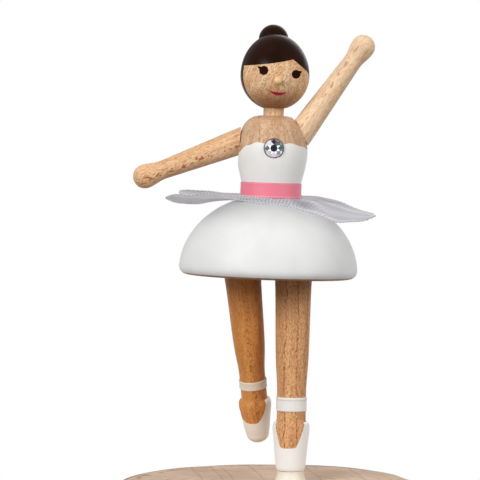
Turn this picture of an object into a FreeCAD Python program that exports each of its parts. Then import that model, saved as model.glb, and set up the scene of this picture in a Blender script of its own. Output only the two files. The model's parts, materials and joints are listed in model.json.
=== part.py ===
import FreeCAD, Part
import math
import os
import re

import Sketcher as sketcher

# Ballerina jewellery box: a turned wooden dancer on the lid of a log-shaped box with a music movement inside.
# Origin at the middle of the underside, +Z up, the dancer faces -Y. Millimetres and degrees.

SIZES = {
    # Log box
    "log_radius": 48.5,
    "felt_thickness": 1.5,
    "felt_inset": 1.5,
    "foot_wall": 12.5,
    "recess_depth": 10.5,
    "floor_thickness": 4.0,
    "chamber_wall": 8.5,
    "chamber_height": 22.0,
    "rim_wall": 6.5,
    "tray_thickness": 3.0,
    "lining_thickness": 1.0,
    "compartment_height": 16.0,
    "wood_gap": 0.1,
    # Lid cut from the same log
    "lid_thickness": 12.0,
    "lid_boss_height": 4.0,
    "lid_boss_gap": 0.4,
    "bush_radius": 4.5,
    "press_gap": 0.02,
    "running_gap": 0.05,
    "end_gap": 0.2,
    # Turning axis and drive
    "spin_offset": 7.5,
    "spindle_radius": 3.0,
    "spindle_collar_radius": 5.5,
    "spindle_collar_height": 1.8,
    "spindle_pin_radius": 1.5,
    "spindle_pin_length": 11.0,
    "output_radius": 2.0,
    "tang_width": 2.4,
    "tang_length": 9.0,
    "tang_gap": 0.15,
    "tube_radius": 4.0,
    "tube_height": 12.5,
    # Spring barrel
    "bedplate_thickness": 1.5,
    "bedplate_right": 24.0,
    "bedplate_left_gap": 4.6,
    "bedplate_front": 22.6,
    "bedplate_back": 18.0,
    "bedplate_edge_gap": 1.5,
    "bedplate_boss_radius": 3.6,
    "bedplate_boss_height": 0.5,
    "hub_gap": 0.1,
    "hub_radius": 5.0,
    "hub_height": 2.4,
    "flange_thickness": 1.5,
    "crown_height": 1.2,
    "crown_pitch_rise": 0.75,
    "crown_teeth": 60,
    "crown_face": 3.0,
    "crown_module": 0.5,
    "drum_radius": 12.3,
    "drum_height": 11.0,
    "drum_wall": 1.0,
    "cover_thickness": 1.0,
    "arbor_radius": 1.9,
    "spring_thickness": 0.35,
    "spring_turns": 6,
    "spring_gap": 0.4,
    "key_hub_radius": 3.4,
    "key_rise": 1.0,
    "key_hub_height": 6.0,
    "key_span": 22.0,
    "key_thickness": 2.2,
    "key_corner": 2.0,
    # Pinned cylinder and its train
    "pinion_teeth": 12,
    "pinion_face": 2.0,
    "drum_pin_radius": 0.2,
    "drum_pin_height": 0.35,
    "drum_pins": 54,
    "pinned_radius": 6.5,
    "train_room": 23.0,
    "cylinder_arbor_radius": 1.2,
    "bearing_gap": 0.5,
    "bearing_thickness": 1.2,
    "train_module": 0.35,
    "wheel_teeth": 30,
    "train_pinion_teeth": 10,
    "wheel_face": 1.0,
    "wheel_gap": 0.6,
    "train_angle": 38.2,
    "train_arbor_radius": 0.7,
    "fly_length": 14.0,
    "fly_radius": 4.2,
    "fly_thickness": 0.4,
    "plate_margin": 2.6,
    # Comb
    "comb_teeth": 18,
    "comb_thickness": 1.0,
    "comb_tooth_length": 10.0,
    "comb_slit": 0.25,
    "comb_root": 5.0,
    "comb_pin_gap": 0.15,
    "screw_radius": 1.1,
    "screw_head_radius": 2.0,
    "screw_head_height": 1.0,
    "screw_bite": 3.2,
    "screw_inset": 4.0,
    # Dancer: stance
    "lean_angle": 2.0,
    "leg_lean_angle": 0.9,
    "body_offset": 9.95,
    "lid_clearance": 0.3,
    "foot_collar_radius": 5.1,
    "foot_collar_waist": 4.4,
    "foot_collar_height": 3.6,
    "seat_gap": 0.1,
    # Dancer: legs, measured up from the toe
    "shoe_length": 16.6,
    "shoe_toe_radius": 4.75,
    "shoe_toe_round": 0.8,
    "shoe_radius": 6.1,
    "ankle_radius": 4.85,
    "thigh_radius": 6.2,
    "tenon_radius": 4.0,
    "tenon_length": 12.0,
    "glue_gap": 0.05,
    "raised_leg_ratio": 0.9,
    "raised_shoe_length": 15.7,
    "raised_toe_radius": 3.8,
    "raised_thigh_radius": 6.2,
    "raised_leg_length": 59.3,
    "raised_leg_side": 8.4,
    "raised_leg_back_angle": 14.0,
    "raised_leg_tilt_angle": 7.2,
    "ribbon_thickness": 0.25,
    "ankle_length": 9.0,
    "ankle_ribbon_width": 4.6,
    "ankle_ribbon_rise": 20.15,
    "raised_ribbon_width": 3.0,
    "raised_ribbon_rise": 19.6,
    "raised_leg_depth": 2.0,
    # Dancer: skirt, tutu and torso
    "skirt_radius": 29.75,
    "skirt_height": 26.1,
    "skirt_drop": 3.4,
    "skirt_sink": 2.4,
    "skirt_edge": 2.6,
    "skirt_base": 68.6,
    "skirt_top_radius": 12.3,
    "tutu_half_length": 35.7,
    "tutu_short_end": 31.3,
    "tutu_half_width": 16.0,
    "tutu_thickness": 0.5,
    "tutu_spread_angle": 17.0,
    "tutu_reach": 20.0,
    "tutu_flat_radius": 11.5,
    "tutu_ease": 5.0,
    "tutu_droop": 6.3,
    "tutu_rest": 0.5,
    "tutu_gap": 0.1,
    "waist_radius": 9.9,
    "waist_height": 5.2,
    "bust_radius": 11.7,
    "bust_height": 16.0,
    "shoulder_radius": 7.2,
    "torso_height": 27.4,
    "spine_radius": 4.0,
    "spine_bite": 10.0,
    "stone_radius": 3.05,
    "stone_girdle": 0.7,
    "stone_crown": 1.5,
    "stone_table_radius": 1.5,
    "stone_facets": 16,
    "stone_seat": 11.2,
    "stone_rise": 16.6,
    "stone_side": 0.35,
    # Dancer: neck, head and arms
    "neck_radius": 3.4,
    "neck_show": 2.5,
    "neck_bite": 6.0,
    "head_radius": 11.4,
    "head_crown": 13.7,
    "bun_radius": 5.0,
    "bun_back": 5.0,
    "bun_rise": 12.2,
    "bun_side": 0.8,
    "nose_radius": 1.4,
    "nose_drop_angle": 10.0,
    "nose_turn_angle": 4.5,
    "arm_length": 39.3,
    "lowered_arm_length": 37.7,
    "arm_shoulder_radius": 4.37,
    "arm_wrist_radius": 3.1,
    "hand_radius": 4.0,
    "arm_mitre_angle": 25.0,
    "raised_peg_angle": 31.2,
    "raised_peg_height": 16.35,
    "lowered_peg_angle": 2.7,
    "lowered_peg_height": 18.05,
    "shoulder_flat": 10.9,
    "shoulder_gap": 0.15,
    "peg_radius": 1.5,
    "peg_bite": 6.0,
}

doc = FreeCAD.newDocument("ballerina_box")
sheet = doc.addObject("Spreadsheet::Sheet", "Sizes")
for line, (alias, value) in enumerate(SIZES.items(), start=1):
    sheet.set(f"A{line}", alias)
    sheet.set(f"B{line}", str(value))
    sheet.setAlias(f"B{line}", alias)
doc.recompute()

V = FreeCAD.Vector
X_AXIS, Y_AXIS, Z_AXIS = V(1, 0, 0), V(0, 1, 0), V(0, 0, 1)
ORIGIN = V(0, 0, 0)
FULL_TURN = 360.0
QUARTER_TURN = 90.0
pieces = []


def size(alias):
    """A driving dimension as a number."""
    return float(sheet.get(alias))


def bound(words):
    """An expression in which each driving dimension's name points at its cell."""
    return re.sub(r"[a-z_]+", lambda m: f"Sizes.{m[0]}" if m[0] in SIZES else m[0], words)


def bind(thing, **sizes):
    """Ties properties of an object to expressions of driving dimensions."""
    for prop, words in sizes.items():
        thing.setExpression(prop.replace("__", "."), bound(words))


def place(thing, x="0", y="0", z="0"):
    """Ties an object's position to expressions."""
    for axis, words in (("x", x), ("y", y), ("z", z)):
        thing.setExpression(f"Placement.Base.{axis}", bound(words))


def keep(thing, label):
    """Marks an object as a finished piece."""
    thing.Label = label
    pieces.append(thing)
    return thing


def feature(label, shape):
    """A finished piece whose free-form shape is made directly."""
    thing = doc.addObject("Part::Feature", label)
    thing.Shape = shape
    return keep(thing, label)


def cylinder(name, radius, height, x="0", y="0", z="0"):
    """A cylinder standing on its own end, with bound sizes."""
    thing = doc.addObject("Part::Cylinder", name)
    bind(thing, Radius=radius, Height=height)
    place(thing, x, y, z)
    return thing


def block(name, length, width, height, x="0", y="0", z="0"):
    """A box with bound sizes, placed by its lowest corner."""
    thing = doc.addObject("Part::Box", name)
    bind(thing, Length=length, Width=width, Height=height)
    place(thing, x, y, z)
    return thing


def combine(kind, name, base, tool):
    """A boolean of two objects: Part::Cut, Part::Fuse or Part::Common."""
    thing = doc.addObject(kind, name)
    thing.Base = base
    thing.Tool = tool
    return thing


def fused(name, things):
    """Several touching objects made into one solid."""
    thing = doc.addObject("Part::MultiFuse", name)
    thing.Shapes = things
    thing.Refine = True
    return thing


def plane_of(body, role):
    """One of a body's own origin planes."""
    return next(f for f in body.Origin.OriginFeatures if f.Role == role)


def draw_circles(sketch, circles):
    """Draws circles given as (radius, x, y) expressions and ties them to the sheet."""
    for n, (radius, x, y) in enumerate(circles):
        sketch.addGeometry(Part.Circle(V(level(x), level(y), 0), Z_AXIS, level(radius)))
        for kind, words, own_axis in (("DistanceX", x, -2), ("DistanceY", y, -1)):
            if words == "0":
                sketch.addConstraint(sketcher.Constraint("PointOnObject", n, 3, own_axis))
            else:
                row = sketch.addConstraint(sketcher.Constraint(kind, -1, 1, n, 3, level(words)))
                sketch.setExpression(f"Constraints[{row}]", bound(words))
        row = sketch.addConstraint(sketcher.Constraint("Radius", n, level(radius)))
        sketch.setExpression(f"Constraints[{row}]", bound(radius))


def disc_body(label, circles, height, z="0"):
    """A padded disc: the first circle is its rim, the others are holes."""
    body = doc.addObject("PartDesign::Body", label + "_body")
    sketch = body.newObject("Sketcher::SketchObject", label + "_outline")
    sketch.AttachmentSupport = (plane_of(body, "XY_Plane"), [""])
    sketch.MapMode = "FlatFace"
    draw_circles(sketch, circles)
    doc.recompute()
    pad = body.newObject("PartDesign::Pad", label + "_pad")
    pad.Profile = sketch
    bind(pad, Length=height)
    place(body, z=z)
    doc.recompute()
    return body


def spun(points):
    """A turned solid. Points are (radius, height); a list inside is a smooth stretch of several points."""
    edges = []
    last = None
    for entry in points:
        stretch = entry if isinstance(entry, list) else [entry]
        vectors = [V(r, 0, h) for r, h in stretch]
        if last is not None and (last - vectors[0]).Length > 1e-7:
            edges.append(Part.LineSegment(last, vectors[0]).toShape())
        if len(vectors) > 1:
            curve = Part.BSplineCurve()
            curve.interpolate(vectors)
            edges.append(curve.toShape())
        last = vectors[-1]
    first = edges[0].Vertexes[0].Point
    edges.append(Part.LineSegment(last, first).toShape())
    face = Part.Face(Part.Wire(edges))
    return face.revolve(ORIGIN, Z_AXIS, FULL_TURN)


def polar(radius, degrees):
    """A point of the XY plane from its radius and angle."""
    return V(radius * math.cos(math.radians(degrees)), radius * math.sin(math.radians(degrees)), 0)


def prism(corners, height):
    """A straight prism standing on the XY plane."""
    return Part.Face(Part.makePolygon(corners + corners[:1])).extrude(Z_AXIS * height)


def spur_gear(teeth, module, face, bore, phase):
    """A spur gear along +Z with slim straight-sided teeth, one of them at the phase angle."""
    addendum, dedendum = 0.85 * module, 1.2 * module
    pitch_radius = module * teeth / 2
    pitch = FULL_TURN / teeth
    corners = []
    for n in range(teeth):
        centre = phase + n * pitch
        for radius, share in (
            (pitch_radius - dedendum, -0.26),
            (pitch_radius + addendum, -0.10),
            (pitch_radius + addendum, 0.10),
            (pitch_radius - dedendum, 0.26),
        ):
            corners.append(polar(radius, centre + share * pitch))
    return prism(corners, face).cut(Part.makeCylinder(bore, face))


def along_x(shape, x, y, z):
    """Turns a shape built along +Z so that it runs along +X, its own X axis along +Y, and moves it."""
    turned = FreeCAD.Matrix(0, 0, 1, x, 1, 0, 0, y, 0, 1, 0, z, 0, 0, 0, 1)
    return shape.transformed(turned)


# Bores of the log, each its wall inside the outline, and what the chamber leaves for the movement.
RECESS_RADIUS = "log_radius - foot_wall"
CHAMBER_RADIUS = "log_radius - chamber_wall"
TRAY_RADIUS = "log_radius - rim_wall"
BEDPLATE_LEFT = CHAMBER_RADIUS + " - bedplate_left_gap"
# Heights of the storeys, from the underside up.
LEDGE = "felt_thickness + recess_depth"
CHAMBER = LEDGE + " + floor_thickness"
TRAY = CHAMBER + " + chamber_height"
LINING = TRAY + " + tray_thickness"
COMPARTMENT = LINING + " + lining_thickness"
RIM = COMPARTMENT + " + compartment_height"
LID_TOP = RIM + " + lid_thickness"
HUB = CHAMBER + " + bedplate_thickness + bedplate_boss_height + hub_gap"
FLANGE_TOP = HUB + " + hub_height + flange_thickness"
DRUM_TOP = FLANGE_TOP + " + drum_height"


def level(words):
    """Adds and subtracts named dimensions and plain numbers, each set apart by a space."""
    total = 0.0
    sign = 1.0
    for token in words.split():
        if token in ("+", "-"):
            sign = 1.0 if token == "+" else -1.0
        else:
            total += sign * (size(token) if token in SIZES else float(token))
    return total


ledge_z, chamber_z, tray_z = level(LEDGE), level(CHAMBER), level(TRAY)
rim_z, lid_top_z = level(RIM), level(LID_TOP)
spin_x = size("spin_offset")


# Log box

LOBES = ((2, 0.010, 35.0), (4, 0.009, 110.0), (6, 0.008, 20.0), (10, 0.005, 75.0), (14, 0.003, 10.0))
OUTLINE_STEP = 4


def log_face(radius, z):
    """The uneven round of the log as a flat face: a circle with a few shallow lobes."""
    points = []
    for degrees in range(0, int(FULL_TURN), OUTLINE_STEP):
        lobes = sum(share * math.cos(math.radians(n * degrees + turn)) for n, share, turn in LOBES)
        points.append(polar(radius * (1 + lobes), degrees) + V(0, 0, z))
    curve = Part.BSplineCurve()
    curve.interpolate(Points=points, PeriodicFlag=True)
    return Part.Face(Part.Wire(curve.toShape()))


def log_box():
    """The hollowed log: a key recess, the movement chamber and the jewel compartment, on two ledges."""
    block_of_wood = doc.addObject("Part::Feature", "log_block")
    foot = size("felt_thickness")
    block_of_wood.Shape = log_face(size("log_radius"), foot).extrude(Z_AXIS * (rim_z - foot))
    wall = block_of_wood
    for name, radius, height, z in (
        ("key_recess", RECESS_RADIUS, "recess_depth", "felt_thickness"),
        ("movement_chamber", CHAMBER_RADIUS, "floor_thickness + chamber_height", LEDGE),
        ("jewel_bore", TRAY_RADIUS, "tray_thickness + lining_thickness + compartment_height", TRAY),
    ):
        wall = combine("Part::Cut", name + "_cut", wall, cylinder(name, radius, height, z=z))
    keep(wall, "box_wall")

    ring = doc.addObject("Part::Feature", "felt_sheet")
    ring.Shape = log_face(size("log_radius") - size("felt_inset"), 0).extrude(Z_AXIS * foot)
    hole = cylinder("felt_hole", RECESS_RADIUS, "felt_thickness")
    keep(combine("Part::Cut", "felt_cut", ring, hole), "felt_ring")


def floors():
    """Three round sheets: the movement floor, the tray floor on its ledge and the velvet on it."""
    holes = [("screw_radius + press_gap", x, y) for x, y in screw_places()]
    rim = (CHAMBER_RADIUS + " - wood_gap", "0", "0")
    arbor_hole = ("bedplate_boss_radius", "spin_offset", "0")
    keep(disc_body("movement_floor", [rim, arbor_hole] + holes, "floor_thickness", LEDGE), "movement_floor")
    rim = (TRAY_RADIUS + " - wood_gap", "0", "0")
    tube_hole = ("tube_radius + press_gap", "spin_offset", "0")
    keep(disc_body("tray_floor", [rim, tube_hole], "tray_thickness", TRAY), "tray_floor")
    keep(disc_body("velvet_lining", [rim, tube_hole], "lining_thickness", LINING), "velvet_lining")
    outer = cylinder("tube_outside", "tube_radius", "tube_height", x="spin_offset", z=TRAY)
    inner = cylinder("tube_bore", "output_radius + running_gap", "tube_height", x="spin_offset", z=TRAY)
    keep(combine("Part::Cut", "tube_cut", outer, inner), "shaft_tube")


def lid():
    """The lid: a slice of the log with a boss that drops into the box, and the spindle's brass bush."""
    low = RIM + " - lid_boss_height"
    boss = cylinder("lid_boss", TRAY_RADIUS + " - lid_boss_gap", "lid_boss_height", z=low)
    slice_of_log = doc.addObject("Part::Feature", "log_slice")
    slice_of_log.Shape = log_face(size("log_radius"), rim_z).extrude(Z_AXIS * size("lid_thickness"))
    depth = "lid_thickness + lid_boss_height"
    bore = cylinder("lid_bore", "bush_radius + press_gap", depth, x="spin_offset", z=low)
    keep(combine("Part::Cut", "lid_cut", fused("lid_wood", [slice_of_log, boss]), bore), "lid_slice")
    outer = cylinder("bush_outside", "bush_radius", depth, x="spin_offset", z=low)
    inner = cylinder("bush_bore", "spindle_radius + running_gap", depth, x="spin_offset", z=low)
    keep(combine("Part::Cut", "bush_cut", outer, inner), "spindle_bush")


# Music movement

def screw_places():
    """Where the movement is screwed to its floor, as expressions."""
    right = "bedplate_right - screw_inset"
    return [
        (right, "bedplate_back - screw_inset"),
        (right, "screw_inset - bedplate_back"),
        ("screw_inset - bedplate_right", "bedplate_back - screw_inset"),
    ]


plate_top = chamber_z + size("bedplate_thickness")
hub_z, flange_top, drum_top = level(HUB), level(FLANGE_TOP), level(DRUM_TOP)
flange_z = hub_z + size("hub_height")
crown_radius = size("crown_module") * size("crown_teeth") / 2
flange_radius = crown_radius + size("crown_face") / 2
pinion_radius = size("crown_module") * size("pinion_teeth") / 2
train_z = flange_top + size("crown_pitch_rise") + pinion_radius
post_right = spin_x - flange_radius - size("bearing_gap")
post_left = post_right - size("bearing_thickness")
pinned_right = post_left - size("bearing_gap")
pinned_length = level(CHAMBER_RADIUS) - size("train_room")
pinned_left = pinned_right - pinned_length
inner_right = pinned_left - size("bearing_gap")
inner_left = inner_right - size("bearing_thickness")
first_left = inner_left - size("wheel_gap") - size("wheel_face")
second_left = first_left - size("wheel_gap") - size("wheel_face")
outer_right = second_left - size("wheel_gap")
outer_left = outer_right - size("bearing_thickness")
train_reach = size("train_module") * (size("wheel_teeth") + size("train_pinion_teeth")) / 2
rise = math.radians(size("train_angle"))
second_y = train_reach * math.cos(rise)
second_z = train_z + train_reach * math.sin(rise)
fly_y = second_y + train_reach


def bedplate():
    """The movement's bedplate, clipped to the round chamber, with the barrel's boss."""
    across = BEDPLATE_LEFT + " + bedplate_right"
    deep = "bedplate_front + bedplate_back"
    corner = (f"-({BEDPLATE_LEFT})", "-bedplate_front", CHAMBER)
    sheet_metal = block("plate_blank", across, deep, "bedplate_thickness", *corner)
    limit = cylinder("plate_limit", CHAMBER_RADIUS + " - bedplate_edge_gap", "bedplate_thickness", z=CHAMBER)
    plate = combine("Part::Common", "plate_round", sheet_metal, limit)
    boss_z = CHAMBER + " + bedplate_thickness"
    boss = cylinder("plate_boss", "bedplate_boss_radius", "bedplate_boss_height", x="spin_offset", z=boss_z)
    plate = fused("plate_and_boss", [plate, boss])
    depth = "bedplate_thickness + bedplate_boss_height"
    bore = cylinder("plate_bore", "arbor_radius + running_gap", depth, x="spin_offset", z=CHAMBER)
    plate = combine("Part::Cut", "plate_bored", plate, bore)
    for n, (x, y) in enumerate(screw_places()):
        hole = cylinder(f"plate_hole_{n}", "screw_radius + press_gap", "bedplate_thickness", x, y, CHAMBER)
        plate = combine("Part::Cut", f"plate_drilled_{n}", plate, hole)
    keep(plate, "bedplate")


def screws(label, places, head_z):
    """A group of round-headed screws standing head up at the given points."""
    shank = Part.makeCylinder(size("screw_radius"), size("screw_bite") + size("bedplate_thickness"))
    shank.translate(V(0, 0, -size("screw_bite") - size("bedplate_thickness")))
    cap = Part.makeCylinder(size("screw_head_radius"), size("screw_head_height"))
    screw = shank.fuse(cap).removeSplitter()
    group = []
    for x, y in places:
        one = screw.copy()
        one.translate(V(x, y, head_z))
        group.append(one)
    feature(label, Part.makeCompound(group))


def spring_barrel():
    """The drum with its crown of teeth, its cover, the mainspring and the shaft that turns the dancer."""
    bore = size("arbor_radius") + size("running_gap")
    outer = size("drum_radius")
    inner = outer - size("drum_wall")
    inside = flange_top + size("drum_wall")
    drum = spun([
        (bore, hub_z), (size("hub_radius"), hub_z), (size("hub_radius"), flange_z),
        (flange_radius, flange_z), (flange_radius, flange_top), (outer, flange_top),
        (outer, drum_top), (inner, drum_top), (inner, inside), (bore, inside),
    ])
    pitch = math.pi * size("crown_module")
    root, tip, sunk = 0.22 * pitch, 0.10 * pitch, 0.1
    high = size("crown_height")
    inner_end = crown_radius - size("crown_face") / 2
    corners = [V(inner_end, y, z) for y, z in ((-root, -sunk), (-tip, high), (tip, high), (root, -sunk))]
    tooth = Part.Face(Part.makePolygon(corners + corners[:1])).extrude(X_AXIS * size("crown_face"))
    tooth.translate(V(0, 0, flange_top))
    teeth = []
    step = FULL_TURN / size("crown_teeth")
    for n in range(int(size("crown_teeth"))):
        one = tooth.copy()
        one.rotate(ORIGIN, Z_AXIS, (n + 0.5) * step)
        teeth.append(one)
    rim = Part.makeCylinder(flange_radius, drum_top)
    crown = drum.multiFuse(teeth).common(rim).removeSplitter()
    crown.translate(V(spin_x, 0, 0))
    feature("spring_barrel", crown)

    cover = cylinder("barrel_lid", "drum_radius", "cover_thickness", x="spin_offset", z=DRUM_TOP)
    keep(cover, "barrel_cover")
    feature("mainspring", mainspring(bore, inner, inside))

    shaft_z = drum_top + size("cover_thickness")
    tang_z = tray_z + size("tube_height")
    shaft = Part.makeCylinder(size("output_radius"), tang_z - shaft_z, V(spin_x, 0, shaft_z))
    width = size("tang_width")
    tang = Part.makeBox(width, width, size("tang_length"), V(spin_x - width / 2, -width / 2, tang_z))
    feature("output_shaft", shaft.fuse(tang).removeSplitter())


def mainspring(bore, inner, inside):
    """A flat spiral strip between the winding arbor and the drum wall."""
    gap, thick, turns = size("spring_gap"), size("spring_thickness"), size("spring_turns")
    first, last = bore + gap, inner - gap - thick
    per_turn = 12
    count = int(turns * per_turn)
    sides = []
    for extra in (0.0, thick):
        points = []
        for n in range(count + 1):
            radius = first + (last - first) * n / count + extra
            points.append(polar(radius, n * FULL_TURN / per_turn))
        curve = Part.BSplineCurve()
        curve.interpolate(points)
        sides.append(curve.toShape())
    ends = [Part.LineSegment(sides[0].valueAt(s), sides[1].valueAt(t)).toShape()
            for s, t in ((sides[0].FirstParameter, sides[1].FirstParameter),
                         (sides[0].LastParameter, sides[1].LastParameter))]
    strip = Part.Face(Part.Wire(Part.__sortEdges__([sides[0], ends[1], sides[1], ends[0]])))
    spring = strip.extrude(Z_AXIS * (drum_top - inside - 2 * gap))
    spring.translate(V(spin_x, 0, inside + gap))
    return spring


def winding_key():
    """The arbor that winds the spring and the wing key on its lower end."""
    low = "felt_thickness + key_rise"
    length = DRUM_TOP + " - end_gap - felt_thickness - key_rise"
    keep(cylinder("arbor_rod", "arbor_radius", length, x="spin_offset", z=low), "winding_arbor")
    wing = block("key_wing", "key_thickness", "key_span", "key_hub_height",
                 "spin_offset - key_thickness / 2", "-key_span / 2", low)
    doc.recompute()
    rounded = doc.addObject("Part::Fillet", "key_rounded")
    rounded.Base = wing
    corner = size("key_corner")
    along = [n for n, e in enumerate(wing.Shape.Edges, start=1) if abs(e.tangentAt(e.FirstParameter).x) > 0.9]
    rounded.Edges = [(n, corner, corner) for n in along]
    hub = cylinder("key_hub", "key_hub_radius", "key_hub_height", x="spin_offset", z=low)
    bore = cylinder("key_bore", "arbor_radius + press_gap", "key_hub_height", x="spin_offset", z=low)
    keep(combine("Part::Cut", "key_cut", fused("key_metal", [rounded, hub]), bore), "winding_key")


def pinned_cylinder():
    """The pinned drum, its arbor, the pinion that the crown drives and the wheel that drives the governor."""
    arbor_radius = size("cylinder_arbor_radius")
    bore = arbor_radius + size("press_gap")
    length = pinned_length
    drum = Part.makeCylinder(size("pinned_radius"), length)
    pin = Part.makeCylinder(size("drum_pin_radius"), 2 * size("drum_pin_height"))
    pin.rotate(ORIGIN, Y_AXIS, 90)
    pin.translate(V(size("pinned_radius") - size("drum_pin_height"), 0, 0))
    pins = []
    notes = int(size("comb_teeth"))
    golden = 137.508
    for n in range(int(size("drum_pins"))):
        one = pin.copy()
        one.rotate(ORIGIN, Z_AXIS, n * golden)
        one.translate(V(0, 0, (n % notes + 0.5) * length / notes))
        pins.append(one)
    drum = drum.multiFuse(pins).cut(Part.makeCylinder(bore, length))
    feature("pinned_drum", along_x(drum, pinned_left, 0, train_z))

    pinion_left = spin_x - crown_radius - size("pinion_face") / 2
    downwards = -90.0
    teeth = int(size("pinion_teeth"))
    pinion = spur_gear(teeth, size("crown_module"), size("pinion_face"), bore, downwards)
    feature("cylinder_pinion", along_x(pinion, pinion_left, 0, train_z))
    teeth = int(size("wheel_teeth"))
    wheel = spur_gear(teeth, size("train_module"), size("wheel_face"), bore, size("train_angle"))
    feature("cylinder_wheel", along_x(wheel, first_left, 0, train_z))
    rod = Part.makeCylinder(arbor_radius, pinion_left + size("pinion_face") - outer_left)
    feature("cylinder_arbor", along_x(rod, outer_left, 0, train_z))


def governor():
    """The two-step gear train and the fly whose blades brake the tune."""
    teeth, wheel_teeth = int(size("train_pinion_teeth")), int(size("wheel_teeth"))
    module, face = size("train_module"), size("wheel_face")
    radius = size("train_arbor_radius")
    bore = radius + size("press_gap")
    half_tooth = FULL_TURN / teeth / 2
    half_turn = FULL_TURN / 2
    pinion = spur_gear(teeth, module, face, bore, size("train_angle") + half_turn + half_tooth)
    feature("second_pinion", along_x(pinion, first_left, second_y, second_z))
    wheel = spur_gear(wheel_teeth, module, face, bore, 0.0)
    feature("second_wheel", along_x(wheel, second_left, second_y, second_z))
    rod = Part.makeCylinder(radius, inner_right - outer_left)
    feature("second_arbor", along_x(rod, outer_left, second_y, second_z))

    pinion = spur_gear(teeth, module, face, bore, half_turn + half_tooth)
    feature("fly_pinion", along_x(pinion, second_left, fly_y, second_z))
    blade_left = inner_right + size("bearing_gap")
    rod = Part.makeCylinder(radius, blade_left + size("fly_length") - outer_left)
    feature("fly_arbor", along_x(rod, outer_left, fly_y, second_z))
    length, reach, thick = size("fly_length"), size("fly_radius"), size("fly_thickness")
    blade = Part.makeBox(2 * reach, thick, length, V(-reach, -thick / 2, 0))
    sleeve = Part.makeCylinder(radius + 2 * thick, length)
    blades = blade.fuse(sleeve).cut(Part.makeCylinder(bore, length)).removeSplitter()
    feature("fly_blades", along_x(blades, blade_left, fly_y, second_z))


def bearing_plate(label, left, low_y, high_y, high_z, bores):
    """An upright plate on the bedplate with a running bore for each arbor in it."""
    thick = size("bearing_thickness")
    plate = Part.makeBox(thick, high_y - low_y, high_z - plate_top, V(left, low_y, plate_top))
    for y, z, radius in bores:
        hole = Part.makeCylinder(radius + size("running_gap"), thick)
        plate = plate.cut(along_x(hole, left, y, z))
    feature(label, plate)


def bearings():
    """The three upright plates that carry the cylinder, the second arbor and the fly."""
    margin = size("plate_margin")
    on_cylinder = (0.0, train_z, size("cylinder_arbor_radius"))
    on_second = (second_y, second_z, size("train_arbor_radius"))
    on_fly = (fly_y, second_z, size("train_arbor_radius"))
    arbor_edge = size("cylinder_arbor_radius") + margin
    top = second_z + margin
    back = fly_y + margin
    bearing_plate("bearing_plate", outer_left, -arbor_edge, back, top, [on_cylinder, on_second, on_fly])
    bearing_plate("governor_plate", inner_left, second_y - margin, back, top, [on_second, on_fly])
    bearing_plate("cylinder_post", post_left, -arbor_edge, arbor_edge, train_z + arbor_edge, [on_cylinder])


def comb():
    """The steel comb, tuned by tooth length, on its block, with its two screws."""
    thick = size("comb_thickness")
    notes = int(size("comb_teeth"))
    tips = -(size("pinned_radius") + size("drum_pin_height") + size("comb_pin_gap"))
    heel = tips - size("comb_tooth_length")
    back = heel - size("comb_root")
    low = train_z - thick / 2
    length = pinned_length
    steel = Part.makeBox(length, tips - back, thick, V(pinned_left, back, low))
    pitch = length / notes
    slit = size("comb_slit")
    slits = []
    for n in range(1, notes):
        deep = size("comb_tooth_length") * (1.0 - 0.35 * n / notes)
        slits.append(Part.makeBox(slit, deep, thick, V(pinned_left + n * pitch - slit / 2, tips - deep, low)))
    steel = steel.cut(Part.makeCompound(slits))
    middle = back + size("comb_root") / 2
    places = [(pinned_left + size("screw_inset"), middle), (pinned_right - size("screw_inset"), middle)]
    base = Part.makeBox(length, size("comb_root"), low - plate_top, V(pinned_left, back, plate_top))
    bore = size("screw_radius") + size("press_gap")
    for x, y in places:
        hole = Part.makeCylinder(bore, train_z + thick - plate_top, V(x, y, plate_top))
        steel = steel.cut(hole)
        base = base.cut(hole)
    feature("comb", steel)
    feature("comb_block", base)
    screws("comb_screws", places, train_z + thick / 2)


# Dancer

def frame(x, y, z, *turns):
    """A position followed by turns given as (axis, degrees)."""
    placement = FreeCAD.Placement(V(x, y, z), FreeCAD.Rotation())
    for axis, degrees in turns:
        placement = placement * FreeCAD.Placement(ORIGIN, FreeCAD.Rotation(axis, degrees))
    return placement


def put(shape, placement):
    """A shape moved into a frame."""
    return shape.transformed(placement.toMatrix())


def smooth_tip(points):
    """A smooth stretch of a turned outline that ends square to the axis, so its tip is round."""
    curve = Part.BSplineCurve()
    vectors = [V(r, 0, h) for r, h in points]
    curve.interpolate(Points=vectors, InitialTangent=V(0, 0, 1), FinalTangent=V(-1, 0, 0))
    return curve


figure = frame(spin_x, 0, lid_top_z, (Y_AXIS, size("lean_angle")))
trunk = figure * frame(-size("body_offset"), 0, 0)
collar_z = lid_top_z + size("lid_clearance")
toe_z = collar_z + size("foot_collar_height") + size("seat_gap")
standing = frame(spin_x, 0, toe_z, (Y_AXIS, size("leg_lean_angle")))
skirt_base = size("skirt_base")
skirt_centre = skirt_base + size("skirt_drop") - size("skirt_sink")
top_share = size("skirt_top_radius") / size("skirt_radius")
skirt_top = skirt_centre + size("skirt_height") * math.sqrt(1 - top_share ** 2)
tutu_layer = size("tutu_thickness") + size("tutu_gap")
torso_base = skirt_top + size("tutu_gap") + 2 * tutu_layer
torso_top = torso_base + size("torso_height")
head_seat = torso_top + size("neck_show")
head_z = head_seat + math.sqrt(size("head_radius") ** 2 - size("neck_radius") ** 2)
torso = trunk * frame(0, 0, torso_base)
head_frame = trunk * frame(0, 0, head_z)
raised_top = trunk * frame(-size("raised_leg_side"), size("raised_leg_depth"), skirt_base)
swing = ((X_AXIS, size("raised_leg_back_angle")), (Y_AXIS, -size("raised_leg_tilt_angle")))
raised = raised_top * frame(0, 0, 0, *swing) * frame(0, 0, -size("raised_leg_length"))
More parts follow.
